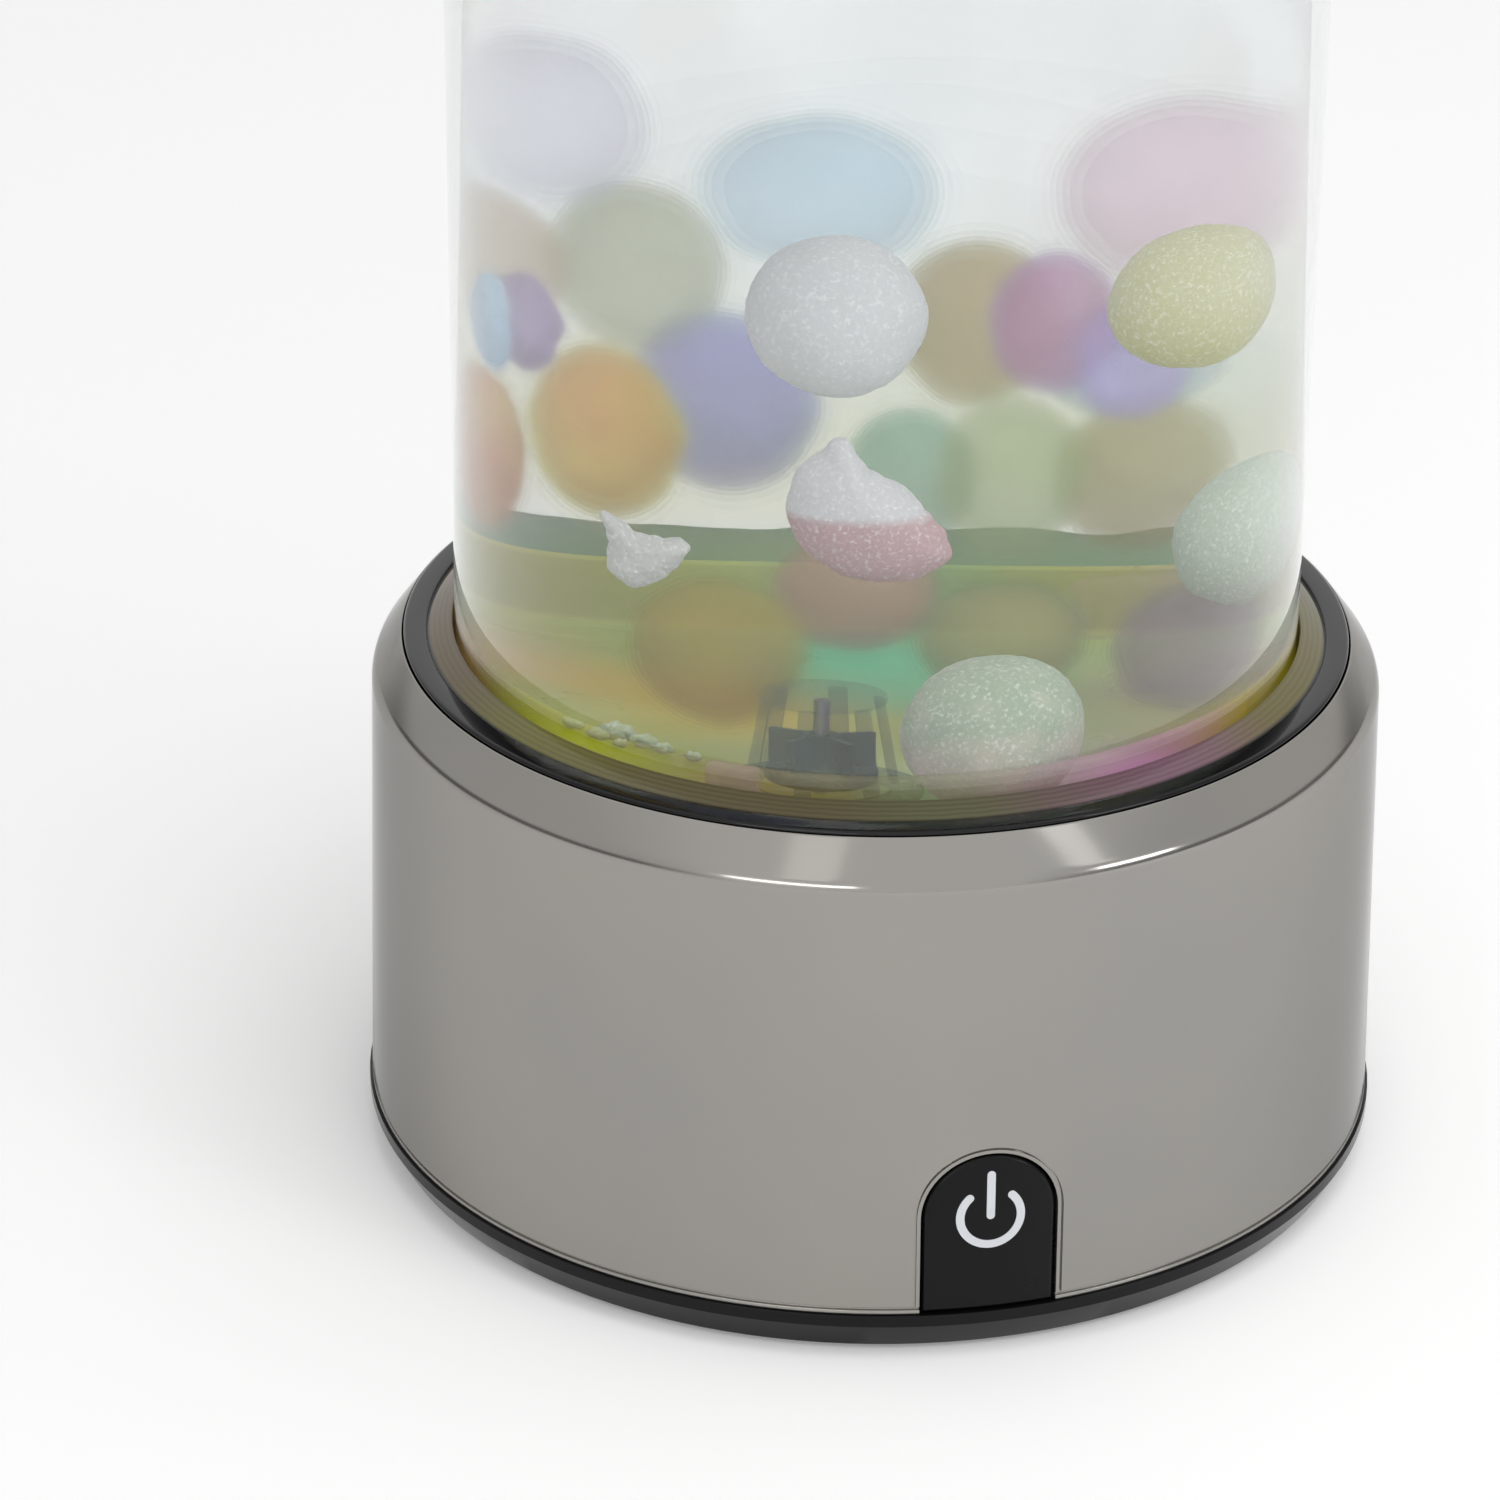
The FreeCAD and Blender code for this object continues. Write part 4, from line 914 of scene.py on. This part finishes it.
whitePieces = {
    "balls": [
        # top and low tints: the wax's off-white with the lamp's coloured light painted in; the lowest ball's
        # low tint is lightened against the shade by the floor
        # x, y, z, radius, height, top tint, low tint
        (-10.6, -22.1, 141.5, 10.4, 1.08, (196, 198, 200), (200, 204, 205)),
        (31.8, -21.9, 140.4, 11.0, 0.9, (188, 188, 148), (184, 184, 118)),
        (40.2, -17.8, 102.9, 10.6, 1.02, (166, 182, 162), (160, 174, 152)),
        (5.1, -43.4, 84.9, 11.8, 0.98, (152, 168, 146), (226, 204, 194)),
    ],
    "drop": {
        "place": (-8.6, -31.0, 114.4), "depth": 0.62, "crisp": 0.2,
        "tints": ((194, 195, 197), (178, 148, 152)),
        # turn in degrees from the right, reach in mm
        "outline": [(0, 7.9), (14, 6.9), (40, 6.3), (68, 6.4), (88, 7.1), (97, 8.8), (103, 12.2),
                    (109, 12.4), (120, 11.3), (136, 11.0), (163, 9.9), (199, 9.0), (231, 8.5), (258, 8.7),
                    (284, 9.2), (308, 10.4), (332, 11.4), (346, 9.8)],
    },
    "chip": {
        "place": (-39.5, -33.5, 110.0), "depth": 0.55, "crisp": -20,
        "tints": ((180, 182, 178), (174, 177, 173)),
        "outline": [(0, 6.2), (14, 7.2), (25, 6.6), (36, 4.2), (63, 3.2), (100, 3.4), (117, 5.2), (135, 8.0),
                    (150, 5.6), (166, 4.5), (190, 4.6), (215, 5.4), (240, 5.1), (263, 5.0), (302, 4.4),
                    (330, 4.7), (350, 5.6)],
    },
}


def roughen(verts, centre, seed, lump, grain):
    shift = Vector((seed * 7.3, seed * 3.1, seed * 5.7))
    for v in verts:
        out = (v.co - centre).normalized()
        v.co += out * (lump * noise.noise(out * 1.6 + shift) + grain * noise.noise(v.co * 1.9 + shift))


def paintTint(verts, layer, high, low, zLow, zHigh):
    for v in verts:
        share = limited(limited((v.co.z - zLow) / (zHigh - zLow)) + 0.25 * noise.noise(v.co * 0.25))
        v[layer] = (*tintOf(low).lerp(tintOf(high), share), 1)


def addBall(bm, centre, radius, subdivisions, stretch):
    made = bmesh.ops.create_icosphere(bm, subdivisions=subdivisions, radius=radius,
                                      matrix=Matrix.Translation(centre))["verts"]
    bmesh.ops.scale(bm, vec=stretch, space=Matrix.Translation(-centre), verts=made)
    return made


def buildWhiteBalls():
    bm = bmesh.new()
    layer = bm.verts.layers.float_color.new("waxTint")
    for i, (x, y, z, radius, flat, high, low) in enumerate(whitePieces["balls"]):
        centre = Vector((x, y, z))
        made = addBall(bm, centre, radius, 5, (1, 1, flat))
        roughen(made, centre, i + 1, 0.35, 0.18)
        paintTint(made, layer, high, low, z - radius * 0.8, z + radius * 0.3)
    finishPiece("whiteWaxBalls", bm, look["waxWhite"], body="wax", replaces="white_wax_balls",
                angle=180)


def reachAt(outline, angle):
    # how far the outline reaches at that turn, with eased steps between its points
    turn = math.degrees(angle) % 360
    points = [*outline, (outline[0][0] + 360, outline[0][1])]
    for (a, near), (b, far) in zip(points, points[1:]):
        if a <= turn <= b:
            share = (turn - a) / (b - a)
            return near + (far - near) * share * share * (3 - 2 * share)
    return outline[0][1]


def buildWaxLump(name, node, key, seed, lump):
    d = whitePieces[key]
    bm = bmesh.new()
    layer = bm.verts.layers.float_color.new("waxTint")
    bmesh.ops.create_icosphere(bm, subdivisions=6, radius=1)
    mean = sum(reach for _, reach in d["outline"]) / len(d["outline"])
    up = Vector((0, 0, 1))
    for v in bm.verts:
        u, depth, w = v.co
        blend = min(1, math.hypot(u, w) * 1.6)
        reach = mean + (reachAt(d["outline"], math.atan2(w, u)) - mean) * blend
        v.co = tankRight * u * reach + up * w * reach + tankFront * -depth * mean * d["depth"]
    roughen(bm.verts, Vector((0, 0, 0)), seed, lump, 0.16)
    # tint from low to high: the wax's off-white with the lamp's coloured light painted in
    high, low = tintOf(d["tints"][0]), tintOf(d["tints"][1])
    for v in bm.verts:
        v[layer] = (*low.lerp(high, limited((v.co.z - d["crisp"]) / 1.4)), 1)
    bmesh.ops.smooth_vert(bm, verts=bm.verts, factor=0.5, use_axis_x=True, use_axis_y=True, use_axis_z=True)
    bmesh.ops.translate(bm, vec=d["place"], verts=bm.verts)
    finishPiece(name, bm, look["waxWhite"], body="wax", replaces=node, angle=180)


softPieces = {
    # node: balls as x, y, z, radius, width, height, density, core tint, rim tint
    "wax_lilac": [(-31.9, 13.8, 159.5, 11.5, 1.0, 1.05, 0.5, (200, 190, 220), (208, 214, 226)),
                  (-44.9, -5.7, 135.0, 5.5, 1.0, 1.25, 2.2, (112, 92, 142), (168, 148, 176))],
    "wax_blue": [(-1.7, 18.9, 148.0, 10.5, 1.1, 1.1, 0.65, (176, 208, 236), (182, 214, 226)),
                 (28.0, 28.3, 119.7, 7.5, 1.0, 1.1, 0.8, (152, 170, 212), (170, 190, 206)),
                 (-50.4, -4.4, 134.0, 4.6, 1.0, 1.5, 2.8, (76, 126, 180), (176, 198, 212))],
    "wax_green": [(-17.3, 24.7, 135.6, 9.2, 0.9, 1.35, 0.9, (166, 178, 144), (190, 192, 164)),
                  (13.7, -1.2, 111.5, 8.2, 0.95, 1.45, 0.85, (150, 182, 130), (182, 198, 126))],
    "wax_rose": [(31.4, 15.1, 146.9, 10.5, 1.05, 1.3, 0.7, (214, 176, 200), (218, 198, 210)),
                 (17.4, -4.9, 134.4, 7.4, 0.95, 1.35, 1.2, (192, 108, 130), (174, 150, 204)),
                 (-2.2, 0.5, 94.5, 8.6, 1.05, 1.0, 1.0, (184, 116, 84), (166, 148, 104))],
    "wax_orange": [(-28.7, 4.8, 116.9, 9.1, 0.95, 1.4, 1.7, (210, 84, 38), (214, 218, 128)),
                   (-47.0, 4.9, 112.5, 7.4, 0.95, 1.6, 2.8, (146, 66, 30), (192, 158, 112)),
                   (-19.1, -5.7, 87.5, 10.0, 1.0, 1.1, 1.0, (174, 134, 34), (160, 154, 64))],
    "wax_violet": [(-10.2, 21.0, 117.3, 8.9, 1.05, 1.5, 1.3, (142, 106, 202), (146, 172, 218)),
                   (32.3, -5.7, 84.0, 8.5, 1.0, 1.15, 0.85, (146, 118, 130), (152, 138, 116)),
                   (25.2, -9.3, 129.4, 6.7, 1.0, 1.35, 1.0, (206, 182, 250), (200, 192, 240))],
    "wax_tan": [(13.7, 19.3, 128.4, 8.4, 0.95, 1.45, 1.25, (174, 130, 90), (186, 180, 118)),
                (27.9, 7.7, 107.7, 8.4, 1.0, 1.4, 1.0, (170, 142, 88), (168, 176, 112)),
                (-33.6, 22.5, 136.3, 7.5, 1.1, 1.3, 0.8, (186, 158, 142), (202, 184, 166))],
    "wax_teal": [(8.0, 20.7, 105.6, 6.6, 1.0, 1.6, 1.05, (96, 164, 158), (128, 192, 160)),
                 (12.0, -7.0, 88.7, 8.5, 1.1, 1.0, 1.05, (190, 148, 36), (140, 150, 104))],
}
softLayers = [  # share of the radius, veil of that layer
    (1.19, 0.02), (1.1, 0.035), (1.03, 0.08), (0.98, 0.13), (0.93, 0.15), (0.87, 0.15), (0.77, 0.15),
]
haze = {
    # milky haze at the back of the tank, tinted by the light, stronger below
    "centre": (6.3, 29.3, 118.0), "half": (50.0, 27.0, 46.0), "lowest": 84.5,
    "layers": (1.0, 0.9, 0.8, 0.7), "veil": (0.08, 0.018),
    "base": (222, 230, 222), "baseShare": 0.15, "vivid": 1.35,
    # right of the axis, height, size, tint
    "patches": [
        (-14, 98, 16, (202, 192, 104)), (22, 98, 16, (204, 204, 88)), (-40, 104, 12, (200, 170, 150)),
        (0, 116, 14, (190, 200, 150)), (22, 128, 12, (208, 216, 140)), (-28, 120, 12, (206, 200, 150)),
        (32, 150, 16, (220, 182, 204)), (-4, 152, 14, (178, 212, 234)), (-36, 160, 14, (206, 200, 228)),
        (-22, 142, 12, (222, 230, 230)), (36, 116, 12, (164, 200, 176)), (8, 136, 10, (196, 214, 200)),
    ],
}


def copyShell(bm, made, centre, share):
    faces = list({f for v in made for f in v.link_faces})
    edges = list({e for v in made for e in v.link_edges})
    copy = bmesh.ops.duplicate(bm, geom=[*made, *edges, *faces])
    verts = [g for g in copy["geom"] if isinstance(g, bmesh.types.BMVert)]
    bmesh.ops.scale(bm, vec=(share, share, share), space=Matrix.Translation(-centre), verts=verts)
    return verts


def keepInTank(verts, limit):
    for v in verts:
        radius = math.hypot(v.co.x, v.co.y)
        if radius > limit:
            v.co.x *= limit / radius
            v.co.y *= limit / radius


def addSoftBall(bm, layer, paint, ball, seed):
    x, y, z, radius, wide, tall, density, core, rim = ball
    centre = Vector((x, y, z))
    first = bmesh.ops.create_uvsphere(bm, u_segments=44, v_segments=22, radius=radius,
                                      matrix=Matrix.Translation(centre))["verts"]
    bmesh.ops.scale(bm, vec=(wide, wide, tall), space=Matrix.Translation(-centre), verts=first)
    roughen(first, centre, seed, 0.7, 0.0)
    shells = [(copyShell(bm, first, centre, share), share, veil) for share, veil in softLayers[1:]]
    bmesh.ops.scale(bm, vec=(softLayers[0][0],) * 3, space=Matrix.Translation(-centre), verts=first)
    for verts, share, veil in [*shells, (first, *softLayers[0])]:
        tint = tintOf(core).lerp(tintOf(rim), limited((share - 0.74) / 0.34))
        for v in verts:
            v[layer] = veil * density
            v[paint] = (*tint, 1)
        keepInTank(verts, 57.3 - 0.8 * (1.24 - share))


def buildSoftWax():
    for n, (node, balls) in enumerate(softPieces.items()):
        bm = bmesh.new()
        layer = bm.verts.layers.float.new("veil")
        paint = bm.verts.layers.float_color.new("waxTint")
        for i, ball in enumerate(balls):
            addSoftBall(bm, layer, paint, ball, n * 3 + i)
        name = "soft" + node.split("_")[1].capitalize()
        material = softWaxMaterial(name, srgb(*balls[0][7]), srgb(*balls[0][8]))
        finishPiece(name, bm, material, body="wax", replaces=node, angle=180, fixNormals=False,
                    shades=False)


def hazeTint(point):
    h = haze
    return mixPatches(point.dot(tankRight), point.z, h["patches"], h["base"], h["baseShare"], h["vivid"])


def hazeVeil(point):
    low, high = haze["veil"]
    return (low + (high - low) * limited((point.z - 105) / 40)) * limited((point.z - 88) / 12, 0.2)


def buildHaze():
    h = haze
    bm = bmesh.new()
    centre = Vector(h["centre"])
    for i, share in enumerate(h["layers"]):
        place = Matrix.Translation(centre) @ Matrix.Diagonal((*h["half"], 1))
        made = bmesh.ops.create_uvsphere(bm, u_segments=72, v_segments=36, radius=share,
                                         matrix=place)["verts"]
        roughen(made, centre, i + 40, 2.5, 0.0)
        keepInTank(made, 57.4 - 0.3 * i)
        for v in made:
            v.co.z = max(v.co.z, h["lowest"] + 0.4 * i)
    paintPoints(bm, "waxTint", hazeTint, hazeVeil)
    material = softWaxMaterial("milkyHaze", srgb(206, 212, 184), srgb(208, 218, 212))
    finishPiece("milkyHaze", bm, material, body="wax", angle=180, fixNormals=False,
                shades=False)


crumbs = {
    # tints, top then low: the wax with the lamp's greenish light painted in, darker at the bottom as painted
    # shade where it lies
    "stretch": (1.25, 0.9, 0.7), "tints": ((172, 186, 146), (140, 150, 106)),
    "places": [  # x, y, z, size of small wax crumbs lying on the tank floor
        (-30.5, -4.0, 74.0, 1.9), (-28.5, -7.5, 73.9, 1.4), (-33.3, -5.0, 73.8, 1.2),
        (-27.0, -10.0, 73.7, 1.0), (-35.0, -1.0, 73.7, 1.1), (-32.0, -8.5, 73.7, 0.8),
        (-24.5, -13.5, 73.7, 0.9), (14.0, -24.0, 73.7, 0.7), (2.5, -31.0, 73.8, 1.1),
        (-1.0, -29.0, 73.7, 0.7),
    ],
}


def buildCrumbs():
    bm = bmesh.new()
    layer = bm.verts.layers.float_color.new("waxTint")
    for i, (x, y, z, size) in enumerate(crumbs["places"]):
        made = addBall(bm, Vector((x, y, z)), size, 3, crumbs["stretch"])
        roughen(made, Vector((x, y, z)), i + 60, size * 0.5, 0.1)
        paintTint(made, layer, *crumbs["tints"], z - size, z + size)
    finishPiece("waxCrumbs", bm, look["waxWhite"], angle=180)


buildWhiteBalls()
buildWaxLump("whiteWaxDrop", "white_wax_drop", "drop", 9, 0.3)
buildWaxLump("whiteWaxChip", "white_wax_chip", "chip", 4, 0.35)
buildSoftWax()
buildHaze()
buildCrumbs()
print("stage: wax made")


# finishes on the CAD nodes that stay as they are

kept = {
    "steel": ["tray_screws", "board_screws", "bracket_screws", "button_pin", "motor_shaft", "impeller_axle"],
    "magnet": ["drive_magnets", "impeller_magnets"],
    "darkPlastic": ["tank_cradle", "motor_mount", "button_bracket", "drive_hub", "dc_jack", "tact_switch",
                    "board_components"],
    "brass": ["jack_pin"],
    "board": ["switch_board", "main_board", "led_board"],
    "ledRed": ["red_leds"],
    "ledGreen": ["green_leds"],
    "ledBlue": ["blue_leds"],
    "whitePlastic": ["fill_screw"],
}
for finish, nodes in kept.items():
    for node in nodes:
        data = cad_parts[node].data
        data.materials.clear()
        data.materials.append(look[finish])
print("stage: inner parts finished")


# studio

studio = {
    "floorSize": 4.0, "floorTint": 0.92, "floorLift": 0.2, "ambient": 0.5, "sideShade": 0.3,
    "edgeShade": 0.65, "aim": (0, 0, 0.08), "hiddenWatts": 5,
    "lamps": [
        # turn to the right of the front and height in degrees, distance, width, height, watts
        (-18, 12, 1.4, 0.66, 0.14, 1.3),
        (-16, 40, 1.5, 0.26, 0.7, 0.3),
        (56, 11, 1.4, 0.42, 0.14, 1.7),
        (50, 38, 1.5, 0.18, 0.7, 0.45),
        (30, 50, 1.8, 1.6, 1.2, 9.0),
        (90, 78, 1.8, 1.4, 1.2, 7.0),
    ],
}


def seenDirectly(tree, path):
    # 1 for what the eye sees straight, through clear pieces or in a reflection
    plain = addMath(tree, "MAXIMUM", path["Is Camera Ray"], path["Is Transmission Ray"])
    return addMath(tree, "MAXIMUM", plain, path["Is Glossy Ray"])


def buildWorld():
    # white to the eye; softer on matt surfaces; darker left and right in reflections, as beside a window
    s = studio
    world = bpy.data.worlds.new("studio")
    scene.world = world
    world.use_nodes = True
    tree = world.node_tree
    path = addNode(tree, "LightPath", {}).outputs
    direction = addNode(tree, "TexCoord", {}).outputs["Generated"]
    across = addNode(tree, "VectorMath", {0: direction, 1: tankRight}, operation="DOT_PRODUCT")
    beside = addRange(tree, addMath(tree, "ABSOLUTE", across.outputs["Value"]), 0.5, 0.8)
    upward = addNode(tree, "SeparateXYZ", {0: direction}).outputs["Z"]
    low = addMath(tree, "MULTIPLY", addRange(tree, upward, -0.05, -0.03), addRange(tree, upward, 0.16, 0.08))
    dark = addMath(tree, "MULTIPLY_ADD", low, s["edgeShade"], s["sideShade"])
    shade = addMath(tree, "MULTIPLY", addMath(tree, "MULTIPLY", beside, path["Is Glossy Ray"]), dark)
    level = addRange(tree, seenDirectly(tree, path), 0.0, 1.0, s["ambient"], 1.0)
    background = tree.nodes["Background"].inputs
    plug(tree, background["Color"], (1, 1, 1, 1))
    plug(tree, background["Strength"], addMath(tree, "SUBTRACT", level, shade))


def buildLamps():
    aim = Vector(studio["aim"])
    for i, (turn, height, distance, width, tall, watts) in enumerate(studio["lamps"]):
        turn, height = math.radians(turn), math.radians(height)
        flat = tankFront * math.cos(turn) + tankRight * math.sin(turn)
        place = aim + (flat * math.cos(height) + Vector((0, 0, math.sin(height)))) * distance
        data = bpy.data.lights.new("softbox%d" % i, "AREA")
        data.shape = "RECTANGLE"
        data.size = width
        data.size_y = tall
        data.energy = watts
        lamp = bpy.data.objects.new("softbox%d" % i, data)
        scene.collection.objects.link(lamp)
        lamp.location = place
        lamp.rotation_euler = (aim - place).to_track_quat("-Z", "Y").to_euler()
        lamp.visible_camera = False
        lamp.visible_transmission = False
        lamp.visible_glossy = watts < studio["hiddenWatts"]


def buildFloor():
    bm = bmesh.new()
    bmesh.ops.create_grid(bm, x_segments=1, y_segments=1, size=studio["floorSize"] / 2)
    material = bpy.data.materials.new("paleFloor")
    material.use_nodes = True
    tree = material.node_tree
    seen = seenDirectly(tree, addNode(tree, "LightPath", {}).outputs)
    tone = studio["floorTint"]
    finishMaterial(material, {
        "Base Color": (tone, tone, tone, 1), "Roughness": 0.9, "Specular IOR Level": 0.0,
        "Emission Color": (1, 1, 1, 1),
        "Emission Strength": addMath(tree, "MULTIPLY", seen, studio["floorLift"]),
    })
    meshObject("floor", bm, material)


view = {"heading": (0.2099, 0.9777, 0), "pitch": 0.4552, "roll": 0.0067, "place": (-0.1761, -0.7335, 0.4273),
        "sensor": 36.0, "reach": 5683.93 / 1500}


def buildCamera():
    # where the photograph was taken from: height, heading, tilt and roll, found from the base's outlines
    heading = Vector(view["heading"]).normalized()
    pitch, roll = view["pitch"], view["roll"]
    level = Vector((heading.y, -heading.x, 0))
    forward = heading * math.cos(pitch) - Vector((0, 0, math.sin(pitch)))
    upright = level.cross(forward)
    right = level * math.cos(roll) + upright * math.sin(roll)
    up = upright * math.cos(roll) - level * math.sin(roll)
    data = bpy.data.cameras.new("camera")
    data.sensor_width = view["sensor"]
    data.lens = view["reach"] * view["sensor"]
    data.clip_start = 0.05
    data.clip_end = 50
    camera = bpy.data.objects.new("camera", data)
    scene.collection.objects.link(camera)
    rows = [(right[i], up[i], -forward[i], view["place"][i]) for i in range(3)]
    camera.matrix_world = Matrix([*rows, (0, 0, 0, 1)])
    scene.camera = camera


buildWorld()
buildLamps()
buildFloor()
buildCamera()
scene.view_settings.view_transform = "Standard"
scene.cycles.transparent_max_bounces = 96
scene.cycles.max_bounces = 16
scene.cycles.transmission_bounces = 16
print("stage: studio made")
